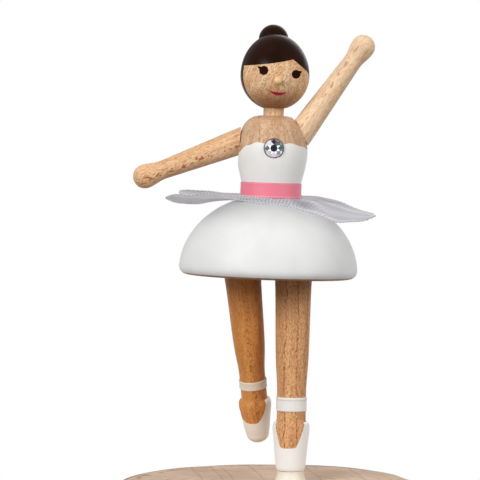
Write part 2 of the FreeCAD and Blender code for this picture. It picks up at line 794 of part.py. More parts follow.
raised_peg = torso * frame(0, 0, size("raised_peg_height"), (Y_AXIS, QUARTER_TURN - size("raised_peg_angle")))
lowered_turn = size("lowered_peg_angle") - QUARTER_TURN
lowered_peg = torso * frame(0, 0, size("lowered_peg_height"), (Y_AXIS, lowered_turn))


def drive_spindle():
    """The spindle in the lid: a collar below, a square socket for the tang and a pin that holds the foot."""
    low = rim_z - size("lid_boss_height") - size("end_gap")
    collar_low = low - size("spindle_collar_height")
    radius, pin = size("spindle_radius"), size("spindle_pin_radius")
    pin_top = collar_z + size("spindle_pin_length")
    spindle = spun([
        (0, collar_low), (size("spindle_collar_radius"), collar_low), (size("spindle_collar_radius"), low),
        (radius, low), (radius, collar_z), (pin, collar_z), (pin, pin_top), (0, pin_top),
    ])
    width = size("tang_width") + 2 * size("tang_gap")
    tang_top = tray_z + size("tube_height") + size("tang_length")
    deep = tang_top + size("end_gap") - collar_low
    socket = Part.makeBox(width, width, deep, V(-width / 2, -width / 2, collar_low))
    spindle = spindle.cut(socket)
    spindle.translate(V(spin_x, 0, 0))
    feature("drive_spindle", spindle)

    bore = pin + size("press_gap")
    wide, waist, high = size("foot_collar_radius"), size("foot_collar_waist"), size("foot_collar_height")
    collar = spun([
        (bore, 0), (wide, 0),
        [(wide, 0.2 * high), (0.6 * waist + 0.4 * wide, 0.42 * high), (waist, 0.7 * high), (waist, high)],
        (bore, high),
    ])
    feature("foot_collar", put(collar, frame(spin_x, 0, collar_z)))


def leg_outline(length, scale, top, toe_points, thigh):
    """A turned leg on its toe: shoe, straight ankle and a thigh that runs on past the skirt's underside."""
    shoe, ankle = size("shoe_radius") * scale, size("ankle_radius") * scale
    toe_height, toe = toe_points[-1][1], toe_points[-1][0]
    grow = shoe - toe
    span = top - toe_height
    ankle_top = top + size("ankle_length") * scale
    above = length - ankle_top
    slim = thigh - ankle
    past_skirt = thigh
    shoe_side = [toe_points[-1]] + [
        (toe + part * grow, toe_height + share * span)
        for part, share in ((0.36, 0.24), (0.60, 0.48), (0.90, 0.70), (1.0, 0.84), (0.86, 0.95))
    ]
    thigh_side = [
        (ankle + part * slim, ankle_top + share * above)
        for part, share in ((0.0, 0.0), (0.03, 0.06), (0.34, 0.22), (0.62, 0.48), (0.76, 0.74), (1.0, 1.0))
    ]
    ends = [(thigh, length + past_skirt), (0, length + past_skirt)]
    return [(0, 0)] + toe_points[:-1] + [shoe_side, (ankle, top), thigh_side] + ends


def leg(placement, outline, length):
    """A leg in its place: cut square to the skirt's underside, with a tenon along its own axis."""
    reach = 2 * size("skirt_radius")
    above = Part.makeBox(reach, reach, reach, V(-reach / 2, -reach / 2, skirt_base - size("seat_gap")))
    solid = put(spun(outline), placement).cut(put(above, trunk))
    return solid.fuse(tenon(placement, length, 0.0)).removeSplitter()


def tenon(placement, length, gap):
    """The tenon of a leg, or with a gap the hole that it fills; it starts well inside the thigh."""
    root = size("tenon_length")
    return put(Part.makeCylinder(size("tenon_radius") + gap, 2 * root, V(0, 0, length - root)), placement)


def ribbon_band(radius, height):
    """A ribbon wrapped once round a cylinder."""
    gap, thick = size("press_gap"), size("ribbon_thickness")
    inner = radius + gap
    return spun([(inner, 0), (inner + thick, 0), (inner + thick, height), (inner, height)])


def legs_and_skirt():
    """Both legs with their ankle ribbons, and the half-ball skirt that their tenons go into."""
    to_skirt = figure.inverse() * standing
    slope = to_skirt.Rotation.multVec(Z_AXIS).z
    length = (skirt_base - to_skirt.Base.z) / slope
    tip, round_off = size("shoe_toe_radius"), size("shoe_toe_round")
    toe = [(tip - 0.5 * round_off, 0), (tip, round_off)]
    outline = leg_outline(length, 1.0, size("shoe_length"), toe, size("thigh_radius"))
    stance = leg(standing, outline, length)
    pin_hole = Part.makeCylinder(size("spindle_pin_radius") + size("press_gap"), size("spindle_pin_length"),
                                 V(spin_x, 0, collar_z + size("end_gap")))
    feature("standing_leg", stance.cut(pin_hole))
    band = ribbon_band(size("ankle_radius"), size("ankle_ribbon_width"))
    feature("standing_ankle_ribbon", put(band, standing * frame(0, 0, size("ankle_ribbon_rise"))))

    scale = size("raised_leg_ratio")
    tip = size("raised_toe_radius")
    toe = [[(0, 0), (0.55 * tip, 0.10 * tip), (0.85 * tip, 0.36 * tip), (tip, 0.8 * tip)], (tip, 0.8 * tip)]
    long, shoe = size("raised_leg_length"), size("raised_shoe_length")
    outline = leg_outline(long, scale, shoe, toe, size("raised_thigh_radius"))
    feature("raised_leg", leg(raised, outline[1:], long))
    band = ribbon_band(size("ankle_radius") * scale, size("raised_ribbon_width"))
    feature("raised_ankle_ribbon", put(band, raised * frame(0, 0, size("raised_ribbon_rise"))))

    radius, high, edge = size("skirt_radius"), size("skirt_height"), size("skirt_edge")
    drop = size("skirt_drop")
    side = [(radius - edge, skirt_base), (radius - 0.30 * edge, skirt_base + 0.26 * drop)]
    side.append((radius - 0.06 * edge, skirt_base + 0.64 * drop))
    steps = 12
    first, last = math.asin(size("skirt_sink") / high), math.acos(top_share)
    for n in range(steps + 1):
        angle = first + (last - first) * n / steps
        side.append((radius * math.cos(angle), skirt_centre + high * math.sin(angle)))
    half_ball = put(spun([(0, skirt_base), side, (0, skirt_top)]), trunk)
    for placement, reach in ((standing, length), (raised, long)):
        half_ball = half_ball.cut(tenon(placement, reach, size("glue_gap")))
    deep = size("tenon_length")
    spine_hole = Part.makeCylinder(size("spine_radius") + size("glue_gap"), deep, V(0, 0, skirt_top - deep))
    feature("skirt", half_ball.cut(put(spine_hole, trunk)))
    low = skirt_top - deep + size("end_gap")
    spine = Part.makeCylinder(size("spine_radius"), torso_base + size("spine_bite") - low, V(0, 0, low))
    feature("spine_dowel", put(spine, trunk))


def dome_height(radius):
    """How far the skirt's surface lies above its flat top, at a distance from the axis."""
    share = min(1.0, max(radius, size("skirt_top_radius")) / size("skirt_radius"))
    return skirt_centre + size("skirt_height") * math.sqrt(1 - share ** 2) - skirt_top


# The tutu's drape along the ribbons: place, height and tilt, as shares of the half length and the droop
DRAPE = [
    (-1.0, 0.29, 0.33), (-0.72, 0.04, 0.33), (-0.58, 0.03, 0.24), (-0.36, 0.05, 0.14), (0.0, -0.02, 0.13),
    (0.11, -0.04, 0.25), (0.29, -0.11, 0.40), (0.42, -0.19, 0.46), (0.60, -0.43, 0.58), (0.81, -0.60, 0.37),
    (0.94, -0.60, 0.22), (1.0, -0.56, 0.18),
]


def drape_slope(n, column):
    """Slope of one column of the drape at its row n, from the rows on both sides."""
    before, after = DRAPE[max(0, n - 1)], DRAPE[min(len(DRAPE) - 1, n + 1)]
    return (after[column] - before[column]) / (after[0] - before[0])


def drape_at(place):
    """Height and tilt of the drape at a share of the half length, smooth from row to row."""
    place = min(1.0, max(-1.0, place))
    n = max(0, min(len(DRAPE) - 2, sum(row[0] <= place for row in DRAPE) - 1))
    span = DRAPE[n + 1][0] - DRAPE[n][0]
    t = (place - DRAPE[n][0]) / span
    found = []
    for column in (1, 2):
        start, end = DRAPE[n][column], DRAPE[n + 1][column]
        rise, fall = span * drape_slope(n, column), span * drape_slope(n + 1, column)
        curve = (2 * t ** 3 - 3 * t ** 2 + 1) * start + (3 * t ** 2 - 2 * t ** 3) * end
        found.append(curve + (t ** 3 - 2 * t ** 2 + t) * rise + (t ** 3 - t ** 2) * fall)
    return found


def ribbon_height(x, y):
    """How far the tutu lies above its flat middle: it drapes to the dancer's left and rests on the skirt."""
    away = math.hypot(x, y)
    share = min(1.0, max(0.0, (away - size("tutu_flat_radius")) / size("tutu_ease")))
    ease = share * share * (3 - 2 * share)
    height, tilt = drape_at(x / size("tutu_half_length"))
    draped = ease * size("tutu_droop") * (height + tilt * y / size("tutu_reach"))
    return max(draped, min(0.0, dome_height(away) + size("tutu_rest")))


def tutu():
    """Two leaf-shaped ribbons crossed over the skirt and clamped under the waist."""
    half, wide, thick = size("tutu_half_length"), size("tutu_half_width"), size("tutu_thickness")
    inner_steps = 12
    step = half / inner_steps
    across, deep = inner_steps + 1, 7
    rows = [[V(n * step, m * step, ribbon_height(n * step, m * step)) for m in range(-deep, deep + 1)]
            for n in range(-across, across + 1)]
    surface = Part.BSplineSurface()
    surface.interpolate(rows)
    slab = surface.toShape().extrude(Z_AXIS * thick)
    hole = Part.makeCylinder(size("spine_radius") + size("glue_gap"), 8 * thick, V(0, 0, -4 * thick))
    slab = slab.cut(hole)
    bluntness = 0.8
    leaves = (("tutu_ribbon_front", 1.0, half), ("tutu_ribbon_back", -1.0, size("tutu_short_end")))
    for n, (label, turn, left) in enumerate(leaves):
        points = []
        for degrees in range(0, int(FULL_TURN), 12):
            c, s = math.cos(math.radians(degrees)), math.sin(math.radians(degrees))
            long = half if c > 0 else left
            halves = ((long, c), (wide, s))
            x, y = (math.copysign(reach * abs(part) ** bluntness, part) for reach, part in halves)
            points.append(V(x, y, -half))
        curve = Part.BSplineCurve()
        curve.interpolate(Points=points, PeriodicFlag=True)
        one = Part.Face(Part.Wire(curve.toShape())).extrude(Z_AXIS * 2 * half)
        one.rotate(ORIGIN, Z_AXIS, turn * size("tutu_spread_angle"))
        ribbon = slab.common(one)
        height = skirt_top + size("tutu_gap") + n * tutu_layer
        feature(label, put(ribbon.Solids[0], trunk * frame(0, 0, height)))


def torso_and_stone():
    """The turned torso with its bores and flats, the waist ribbon, the rhinestone and the neck."""
    waist, belt = size("waist_radius"), size("waist_height")
    bust, bust_z = size("bust_radius"), size("bust_height")
    top, shoulder = size("torso_height"), size("shoulder_radius")
    neck = size("neck_radius")
    rise = top - bust_z
    side = [
        (waist, belt), (waist + 0.30 * (bust - waist), belt + 0.20 * (bust_z - belt)),
        (waist + 0.68 * (bust - waist), belt + 0.48 * (bust_z - belt)), (bust, bust_z),
        (0.82 * bust + 0.18 * shoulder, bust_z + 0.46 * rise),
        (0.45 * bust + 0.55 * shoulder, bust_z + 0.78 * rise),
        (shoulder, bust_z + 0.93 * rise), (1.24 * neck, top),
    ]
    body = spun([(0, 0), (waist, 0), side, (0, top)])
    tight, deep = size("glue_gap"), size("end_gap")
    cuts = [Part.makeCylinder(size("spine_radius") + tight, size("spine_bite") + deep)]
    bite = size("neck_bite")
    cuts.append(Part.makeCylinder(neck + tight, bite + deep, V(0, 0, top - bite - deep)))
    seat = size("stone_seat")
    away = V(0, -1, 0)
    pocket = V(size("stone_side"), -seat, size("stone_rise"))
    cuts.append(Part.makeCylinder(size("stone_radius") + tight, bust, pocket, away))
    body = put(body.cut(Part.makeCompound(cuts)), torso)
    flat = size("shoulder_flat")
    peg_hole = size("peg_bite") + deep
    for placement in (raised_peg, lowered_peg):
        spot = Part.makeCylinder(size("arm_shoulder_radius") * 2, bust, V(0, 0, flat))
        hole = Part.makeCylinder(size("peg_radius") + size("running_gap"), peg_hole, V(0, 0, flat - peg_hole))
        body = body.cut(put(spot.fuse(hole), placement))
    feature("torso", body)

    band = ribbon_band(waist, belt - 2 * size("seat_gap"))
    feature("waist_ribbon", put(band, torso * frame(0, 0, size("seat_gap"))))

    count = int(size("stone_facets"))
    angles = [FULL_TURN * n / count for n in range(count)]
    ring = [polar(size("stone_radius"), angle) for angle in angles]
    high = size("stone_girdle")
    lifted = [corner + V(0, 0, high) for corner in ring]
    table_z = V(0, 0, high + size("stone_crown"))
    table = [polar(size("stone_table_radius"), angle) + table_z for angle in angles]
    wires = [Part.makePolygon(row + row[:1]) for row in (lifted, table)]
    stone = prism(ring, high).fuse(Part.makeLoft(wires, True, True)).removeSplitter()
    outward = torso * frame(size("stone_side"), -seat - size("press_gap"), size("stone_rise"), (X_AXIS, 90))
    feature("rhinestone", put(stone, outward))

    dowel = Part.makeCylinder(neck, size("neck_show") + 2 * bite, V(0, 0, torso_top - bite))
    feature("neck_dowel", put(dowel, trunk))


def head_ball(gap):
    """A ball whose upper half is drawn up to a crown, larger by a gap all round."""
    radius, crown = size("head_radius") + gap, size("head_crown") + gap
    steps = 8
    angles = [math.radians(QUARTER_TURN * n / steps) for n in range(steps)]
    dome = smooth_tip([(radius * math.cos(a), crown * math.sin(a)) for a in angles] + [(0, crown)])
    half = radius * math.sqrt(0.5)
    jaw = Part.Arc(V(0, 0, -radius), V(half, 0, -half), V(radius, 0, 0))
    axis = Part.LineSegment(V(0, 0, crown), V(0, 0, -radius))
    outline = Part.Wire([jaw.toShape(), dome.toShape(), axis.toShape()])
    return Part.Face(outline).revolve(ORIGIN, Z_AXIS, FULL_TURN)


def head():
    """The head that turns on the neck, with its hair bun and nose bead."""
    radius = size("head_radius")
    ball = head_ball(0.0)
    deep = size("neck_bite") + size("end_gap")
    low = V(0, 0, head_seat - head_z - radius)
    bore = Part.makeCylinder(size("neck_radius") + size("running_gap"), deep + radius, low)
    bun = Part.makeSphere(size("bun_radius"), V(-size("bun_side"), size("bun_back"), size("bun_rise")))
    down, turn = math.radians(size("nose_drop_angle")), math.radians(size("nose_turn_angle"))
    tip = V(math.sin(turn) * math.cos(down), -math.cos(turn) * math.cos(down), -math.sin(down)) * radius
    bead = Part.makeSphere(size("nose_radius"), tip)
    pocket = Part.makeSphere(size("nose_radius") + size("press_gap"), tip)
    feature("head", put(ball.cut(bore).cut(pocket), head_frame))
    feature("bun", put(bun.cut(head_ball(size("press_gap"))), head_frame))
    feature("nose", put(bead, head_frame))


def arm(label, placement, length):
    """An arm mitred at the shoulder, swung up from its peg, and the peg it turns on."""
    shoulder, wrist, hand = size("arm_shoulder_radius"), size("arm_wrist_radius"), size("hand_radius")
    palm = length - hand
    back = 2 * shoulder
    taper = (0.25 * wrist + 0.75 * shoulder, 0.18 * length)
    sleeve = [(shoulder, -back), (shoulder, 0), taper, (wrist, palm - 1.6 * hand)]
    fist = smooth_tip([
        (wrist, palm - 1.6 * hand), (wrist + 0.12 * (hand - wrist), palm - 1.2 * hand),
        (wrist + 0.65 * (hand - wrist), palm - 0.65 * hand), (hand, palm),
        (0.72 * hand, palm + 0.70 * hand), (0, length),
    ])
    edges = [fist.toShape()]
    line = [(0, length), (0, -back)] + sleeve
    for (r0, z0), (r1, z1) in zip(line, line[1:]):
        edges.append(Part.LineSegment(V(r0, 0, z0), V(r1, 0, z1)).toShape())
    limb = Part.Face(Part.Wire(edges)).revolve(ORIGIN, Z_AXIS, FULL_TURN)
    limb.rotate(ORIGIN, Y_AXIS, -size("arm_mitre_angle"))
    far = 3 * length
    limb = limb.cut(Part.makeBox(far, far, far, V(-far / 2, -far / 2, size("shoulder_gap") - far)))
    bite, radius = size("peg_bite"), size("peg_radius")
    inside = shoulder
    hole = Part.makeCylinder(radius + size("press_gap"), inside)
    flat = frame(0, 0, size("shoulder_flat"))
    feature(label, put(limb.cut(hole), placement * flat))
    peg = Part.makeCylinder(radius, bite + inside - size("end_gap"), V(0, 0, -bite))
    feature(label + "_peg", put(peg, placement * flat))


# Building and export

log_box()
floors()
lid()
bedplate()
spring_barrel()
winding_key()
pinned_cylinder()
governor()
bearings()
comb()
screws("movement_screws", [(level(x), level(y)) for x, y in screw_places()], plate_top)
drive_spindle()
legs_and_skirt()
tutu()
torso_and_stone()
head()
arm("raised_arm", raised_peg, size("arm_length"))
arm("lowered_arm", lowered_peg, size("lowered_arm_length"))
doc.recompute()

for thing in doc.Objects:
    if "Invalid" in thing.State or "Error" in thing.State:
        raise RuntimeError(f"{thing.Label} did not build: {thing.State}")
os.makedirs("parts", exist_ok=True)
for thing in pieces:
    if thing.Shape.isNull() or not thing.Shape.isValid():
        raise RuntimeError(f"{thing.Label} has no valid shape")
    thing.Shape.exportStep(f"parts/{thing.Label}.step")

for name, placement, axis in (
    ("head_turn", trunk * frame(0, 0, head_seat), Z_AXIS),
    ("raised_arm_turn", raised_peg * frame(0, 0, size("shoulder_flat")), Z_AXIS),
    ("lowered_arm_turn", lowered_peg * frame(0, 0, size("shoulder_flat")), Z_AXIS),
):
    way = placement.Rotation.multVec(axis)
    print(name, [round(c, 5) for c in placement.Base], [round(c, 7) for c in way])
print("cylinder", [0.0, 0.0, train_z], "second", [0.0, second_y, second_z], "fly", [0.0, fly_y, second_z])
print(len(pieces), "pieces")
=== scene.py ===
import json
import math
from math import cos, pi, radians, sin

import bpy
from mathutils import Matrix, Vector, noise
from mathutils.bvhtree import BVHTree


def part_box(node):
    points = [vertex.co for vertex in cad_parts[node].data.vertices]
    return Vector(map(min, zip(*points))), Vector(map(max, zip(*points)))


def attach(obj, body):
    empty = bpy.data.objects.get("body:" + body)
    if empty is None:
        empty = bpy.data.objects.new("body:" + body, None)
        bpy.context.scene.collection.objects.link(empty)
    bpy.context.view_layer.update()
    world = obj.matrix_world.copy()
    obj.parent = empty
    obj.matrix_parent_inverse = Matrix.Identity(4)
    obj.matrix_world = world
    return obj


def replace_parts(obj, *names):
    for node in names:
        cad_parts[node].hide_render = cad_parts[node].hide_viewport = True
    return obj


# Looks of the ballerina jewellery box. Metres, in the part's own frame: +Z up, the dancer faces -Y.

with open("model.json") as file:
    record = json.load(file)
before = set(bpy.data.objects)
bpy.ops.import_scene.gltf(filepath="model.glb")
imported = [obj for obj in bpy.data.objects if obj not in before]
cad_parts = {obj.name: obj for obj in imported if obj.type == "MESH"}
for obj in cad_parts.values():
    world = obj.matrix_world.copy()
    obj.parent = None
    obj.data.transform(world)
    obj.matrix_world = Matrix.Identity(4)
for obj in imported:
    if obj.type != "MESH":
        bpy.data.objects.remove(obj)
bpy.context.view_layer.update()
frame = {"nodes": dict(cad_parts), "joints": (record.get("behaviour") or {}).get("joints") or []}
nodes = frame["nodes"]
joints = {j["name"]: j for j in frame["joints"]}

scene = bpy.context.scene
MM = 0.001
SLIVER = 0.02 * MM
FAR = 80 * MM
UP = Vector((0, 0, 1))
BACK = Vector((0, 1, 0))
WHITE = (1, 1, 1, 1)


def srgb(*channels):
    """A display colour, 0 to 255, as the linear colour that shaders take."""
    shares = [c / 255 for c in channels]
    return (*(s / 12.92 if s <= 0.04045 else ((s + 0.055) / 1.055) ** 2.4 for s in shares), 1.0)


def clamp(value, low=0.0, high=1.0):
    return max(low, min(high, value))


def smooth(t):
    """A share from 0 to 1, eased at both ends."""
    return t * t * (3 - 2 * t)


def around(count, offset=0.0):
    """Angles spaced evenly round a turn."""
    return [2 * pi * (n + offset) / count for n in range(count)]


def polar(radius, angle, z=0.0):
    """A point by its distance from Z, angle and height."""
    return Vector((radius * cos(angle), radius * sin(angle), z))


def shift(x, y, z):
    return Matrix.Translation((x, y, z))


def tilt(degrees, axis):
    return Matrix.Rotation(radians(degrees), 4, axis)


def along(origin, axis):
    """A frame at a point, Z along an axis and X to the part's right."""
    z = Vector(axis).normalized()
    x = BACK.cross(z).normalized()
    turn = Matrix((x, z.cross(x), z)).transposed().to_4x4()
    return shift(*origin) @ turn


def middle(node):
    """The middle of a node's box."""
    low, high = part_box(node)
    return (low + high) / 2


def radius_of(node):
    """Half the width of a node's box."""
    low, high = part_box(node)
    return (high.x - low.x) / 2


# Frames of the dancer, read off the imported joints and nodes

trunk = along(joints["head_turn"]["pos_m"], joints["head_turn"]["axis"])
spin_x = joints["ballerina_spin"]["pos_m"][0]
lid_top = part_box("lid_slice")[1].z
head_low, head_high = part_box("head")
head_radius = radius_of("head")
HEAD_CROWN = 13.7 * MM
head_centre = Vector((middle("head").x, middle("head").y, head_high.z - HEAD_CROWN))
LEG_LEAN = radians(0.9)
standing = along((spin_x, 0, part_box("foot_collar")[1].z), (sin(LEG_LEAN), 0, cos(LEG_LEAN)))


# Materials

class Look:
    """A material or a world under construction: adds shader nodes and links them."""

    def __init__(self, name, owner=None, shader="Principled BSDF"):
        self.material = owner or bpy.data.materials.new(name)
        self.material.use_nodes = True
        self.tree = self.material.node_tree
        self.shader = self.tree.nodes[shader]

    def node(self, kind, inputs=None, **settings):
        made = self.tree.nodes.new("ShaderNode" + kind)
        for key, value in settings.items():
            setattr(made, key, value)
        for key, value in (inputs or {}).items():
            self.plug(made.inputs[key], value)
        return made

    def plug(self, socket, value):
        if isinstance(value, bpy.types.NodeSocket):
            self.tree.links.new(value, socket)
        else:
            socket.default_value = value

    def set(self, **inputs):
        """Sets inputs of the main shader, spaces as underscores."""
        for key, value in inputs.items():
            self.plug(self.shader.inputs[key.replace("_", " ")], value)

    def surface(self, output, first, second, share):
        """Ends the tree in a blend of two shaders."""
        blend = self.node("MixShader", {0: share, 1: first, 2: second})
        self.plug(self.tree.nodes[output].inputs["Surface"], blend.outputs[0])

    def coords(self, cell=(1, 1, 1), turn=None):
        """Coordinates in cells of a size along the axes of a frame."""
        turn = turn or Matrix.Identity(4)
        inputs = {"Vector": self.node("TexCoord").outputs["Object"], "Location": turn.to_translation(),
                  "Rotation": turn.to_euler(), "Scale": cell}
        return self.node("Mapping", inputs, vector_type="TEXTURE").outputs[0]

    def noise(self, cell, turn=None, detail=2.0, rough=0.5, distortion=0.0):
        """Noise in cells of (x, y, z) millimetres, or of one size, along the axes of a frame."""
        cell = cell if isinstance(cell, tuple) else (cell, cell, cell)
        inputs = {"Vector": self.coords([c * MM for c in cell], turn), "Scale": 1.0, "Detail": detail,
                  "Roughness": rough, "Distortion": distortion}
        return self.node("TexNoise", inputs).outputs["Fac"]

    def split(self, vector):
        return self.node("SeparateXYZ", {0: vector}).outputs

    def length(self, vector):
        return self.node("VectorMath", {0: vector}, operation="LENGTH").outputs[1]

    def math(self, operation, a, b=0.0):
        return self.node("Math", {0: a, 1: b}, operation=operation).outputs[0]

    def times(self, a, b):
        return self.math("MULTIPLY", a, b)

    def plus(self, a, b):
        return self.math("ADD", a, b)

    def less(self, a, b):
        return self.math("SUBTRACT", a, b)

    def wave(self, value, pitch):
        return self.math("SINE", self.times(value, 2 * pi / pitch))

    def step(self, value, low, high):
        """0 below low, 1 above high, smooth between."""
        inputs = {"Value": value, "From Min": low, "From Max": high}
        return self.node("MapRange", inputs, interpolation_type="SMOOTHSTEP").outputs["Result"]

    def fade(self, value, low, high):
        """1 below low, 0 above high, smooth between."""
        return self.less(1.0, self.step(value, low, high))

    def stripe(self, value, at, inner, outer):
        """1 within an inner distance of a place, 0 beyond an outer one, in millimetres."""
        return self.fade(self.math("ABSOLUTE", self.less(value, at * MM)), inner * MM, outer * MM)

    def mix(self, share, a, b):
        made = self.node("Mix", data_type="RGBA")
        self.plug(made.inputs[0], share)
        self.plug(made.inputs[6], a)
        self.plug(made.inputs[7], b)
        return made.outputs[2]

    def blend(self, value, low, high, first, second):
        """From one display colour at a low value to another at a high one."""
        return self.mix(self.step(value, low, high), srgb(*first), srgb(*second))

    def tint(self, base, mask, share, colour):
        """Mixes a share of a display colour into a base by a mask."""
        return self.mix(self.times(mask, share), base, srgb(*colour))

    def paint_shade(self, base, deep, dark):
        """Paints shade into a base, darker towards a height in a frame: deep is (frame, start, end, share).
        """
        if not deep:
            return base
        place, start, end, share = deep
        height = self.split(self.coords(turn=place))[2]
        return self.tint(base, self.fade(height, end * MM, start * MM), share, dark)

    def bump(self, height, distance, strength):
        inputs = {"Height": height, "Distance": distance * MM, "Strength": strength}
        self.plug(self.shader.inputs["Normal"], self.node("Bump", inputs).outputs[0])
        return self.material


RAY_MARK = (160, 84, 30)


# A beech look's deep argument paints shade into the wood towards a height.
def beech(name, grain, light, mid, dark, pits=(0.42, 1.15, 0.6), flecks=(), lines=(), deep=None):
    """Oiled beech: slow bands, dense short pits along the grain, and the marks a piece shows.

    Pits are (width, length, strength). Flecks are (x, width, spacing, strength): a column of warm ray marks
    beside the grain's axis. Lines are (x, width, strength): a growth line down the grain.
    """
    look = Look(name)
    wide, long, strength = pits
    bands = look.noise((2.6, 2.6, 34), grain, 3.0)
    streaks = look.noise((0.60, 0.60, 6), grain, 2.0, 0.6)
    pores = look.noise((wide, wide, long), grain, 1.0, 0.5, 0.4)
    glints = look.noise((1.1 * wide, 1.1 * wide, 1.2 * long), grain, 1.0, 0.5, 0.3)
    colour = look.blend(bands, 0.34, 0.66, light, mid)
    colour = look.tint(colour, look.step(streaks, 0.48, 0.72), 0.35, dark)
    sway = look.less(look.noise(6, grain, 1.0), 0.5)
    across = look.plus(look.split(look.coords(turn=grain))[0], look.times(sway, 2.2 * MM))
    for x, width, share in lines:
        line = look.stripe(across, x, 0.2 * width, width)
        colour = look.tint(colour, look.times(line, look.step(pores, 0.30, 0.55)), share, RAY_MARK)
    for x, width, spacing, share in flecks:
        column = look.stripe(across, x, 0.3 * width, width)
        marks = look.noise((0.9, 3, spacing), grain, 1.0, 0.5, 0.6)
        colour = look.tint(colour, look.times(column, look.step(marks, 0.52, 0.62)), share, RAY_MARK)
    pale = [min(250, c + 26) for c in light]
    colour = look.tint(colour, look.step(glints, 0.54, 0.68), 0.45, pale)
    dots = look.step(pores, 0.50, 0.64)
    colour = look.paint_shade(look.tint(colour, dots, strength, dark), deep, [0.92 * c for c in dark])
    look.set(Base_Color=colour, Roughness=0.5, Specular_IOR_Level=0.3)
    return look.bump(look.less(glints, dots), 0.07, 0.6)


def paint(name, colour, spots, shade=None, rough=0.5, cell=0.9, gloss=0.4, relief=0.45, deep=None):
    """Brushed satin paint that varies, the wood's grain a little through it; deep adds painted shade."""
    look = Look(name)
    grain = look.noise((cell, cell, 6), None, 3.0)
    fine = look.noise((0.25, 0.25, 0.35))
    tone = look.blend(look.noise(7), 0.35, 0.7, colour, shade or [0.985 * c for c in colour])
    tone = look.tint(tone, look.step(fine, 0.68, 0.80), spots, [0.90 * c for c in colour])
    tone = look.paint_shade(tone, deep, [0.5 * c for c in colour])
    look.set(Base_Color=tone, Roughness=rough, Specular_IOR_Level=gloss)
    return look.bump(look.plus(grain, look.times(fine, 0.35)), 0.06, relief)


PITH = (-3.0 * MM, -4.0 * MM)
RING_WIDTH = 4.6 * MM
HALF_LOG = (49.0 * MM, 47.2 * MM)
STREAKS = (-21.5, -14.6, -10.8, -0.6, 18.7, 33.0)


def log_wood():
    """The log as one solid texture: rings and rays, and on the lid's top streaks and shreds of bark."""
    look = Look("log_wood")
    place = look.node("TexCoord").outputs["Object"]
    across, back, height = look.split(place)
    wobble = look.less(look.noise((26, 26, 60)), 0.5)
    x = look.less(across, PITH[0])
    y = look.less(back, PITH[1])
    radius = look.math("SQRT", look.plus(look.times(x, x), look.times(y, y)))
    warped = look.plus(radius, look.times(wobble, 9 * MM))
    phase = look.math("FRACT", look.math("DIVIDE", warped, RING_WIDTH))
    late = look.times(look.step(phase, 0.70, 0.97), 0.30)
    spokes = {0: look.times(look.math("ARCTAN2", y, x), 55.0), 1: look.times(radius, 160.0),
              2: look.times(height, 30.0)}
    spokes = look.node("CombineXYZ", spokes).outputs[0]
    rays = look.node("TexNoise", {"Vector": spokes, "Scale": 1.0, "Detail": 2.0}).outputs["Fac"]
    patches = look.noise((22, 22, 40), None, 3.0)
    fibres = look.noise((0.6, 0.6, 5))
    colour = look.blend(patches, 0.35, 0.68, (217, 189, 164), (195, 163, 136))
    colour = look.mix(late, colour, srgb(158, 116, 88))
    colour = look.tint(colour, look.step(rays, 0.55, 0.75), 0.35, (226, 202, 178))
    colour = look.tint(colour, look.step(fibres, 0.55, 0.75), 0.35, (160, 124, 98))
    top = look.step(height, lid_top - 0.8 * MM, lid_top - 0.3 * MM)
    behind = look.times(look.step(back, -6 * MM, 14 * MM), top)
    path = look.plus(look.plus(across, look.times(back, 0.12)), look.times(wobble, 3 * MM))
    for at in STREAKS:
        streak = look.times(look.stripe(path, at, 0.1, 0.6), behind)
        colour = look.tint(colour, streak, 0.3, (146, 104, 74))
    scale = (1 / HALF_LOG[0], 1 / HALF_LOG[1], 0)
    out = look.length(look.node("VectorMath", {0: place, 1: scale}, operation="MULTIPLY").outputs[0])
    shreds = look.noise(5, None, 2.0, 0.6)
    inner = look.less(look.step(out, 0.88, 0.91), look.step(out, 0.93, 0.96))
    bark = look.times(look.times(inner, look.step(shreds, 0.50, 0.60)), 0.6)
    brink = look.times(look.step(out, 0.965, 0.985), 0.55)
    colour = look.tint(colour, look.math("MAXIMUM", bark, brink), top, (134, 96, 70))
    look.set(Base_Color=colour, Roughness=0.68, Specular_IOR_Level=0.3)
    return look.bump(look.plus(look.times(late, -1.0), look.times(fibres, 0.8)), 0.10, 0.6)


def woven(name, rib):
    """A ribbon's look, flat coordinates, wave across it, ribs from 0 to 1, and clouds."""
    look = Look(name)
    flat = look.split(look.node("TexCoord").outputs["UV"])
    wave = look.wave(flat[0], rib * MM)
    return look, flat, wave, look.plus(look.times(wave, 0.5), 0.5), look.noise(5)


def satin(name, colour, shade, rib, strength, stitch_and_sheen_row=None):
    """Woven ribbon, fine cross ribs; a dotted row (height, pitch, colour): dark is stitches, pale a painted
    highlight.
    """
    look, flat, wave, ribs, clouds = woven(name, rib)
    share = look.plus(look.times(ribs, 0.7), look.times(clouds, 0.3))
    tone = look.blend(share, 0.2, 0.8, shade, colour)
    if stitch_and_sheen_row:
        height, pitch, stitch_and_sheen_colour = stitch_and_sheen_row
        dashes = look.step(look.wave(flat[0], pitch * MM), -0.4, 0.4)
        tone = look.tint(tone, look.stripe(flat[1], height, 0.08, 0.30), dashes, stitch_and_sheen_colour)
    look.set(Base_Color=tone, Roughness=0.45, Sheen_Weight=0.3, Sheen_Roughness=0.4)
    return look.bump(look.plus(wave, look.times(look.wave(flat[1], 0.35 * MM), 0.4)), 0.05, strength)


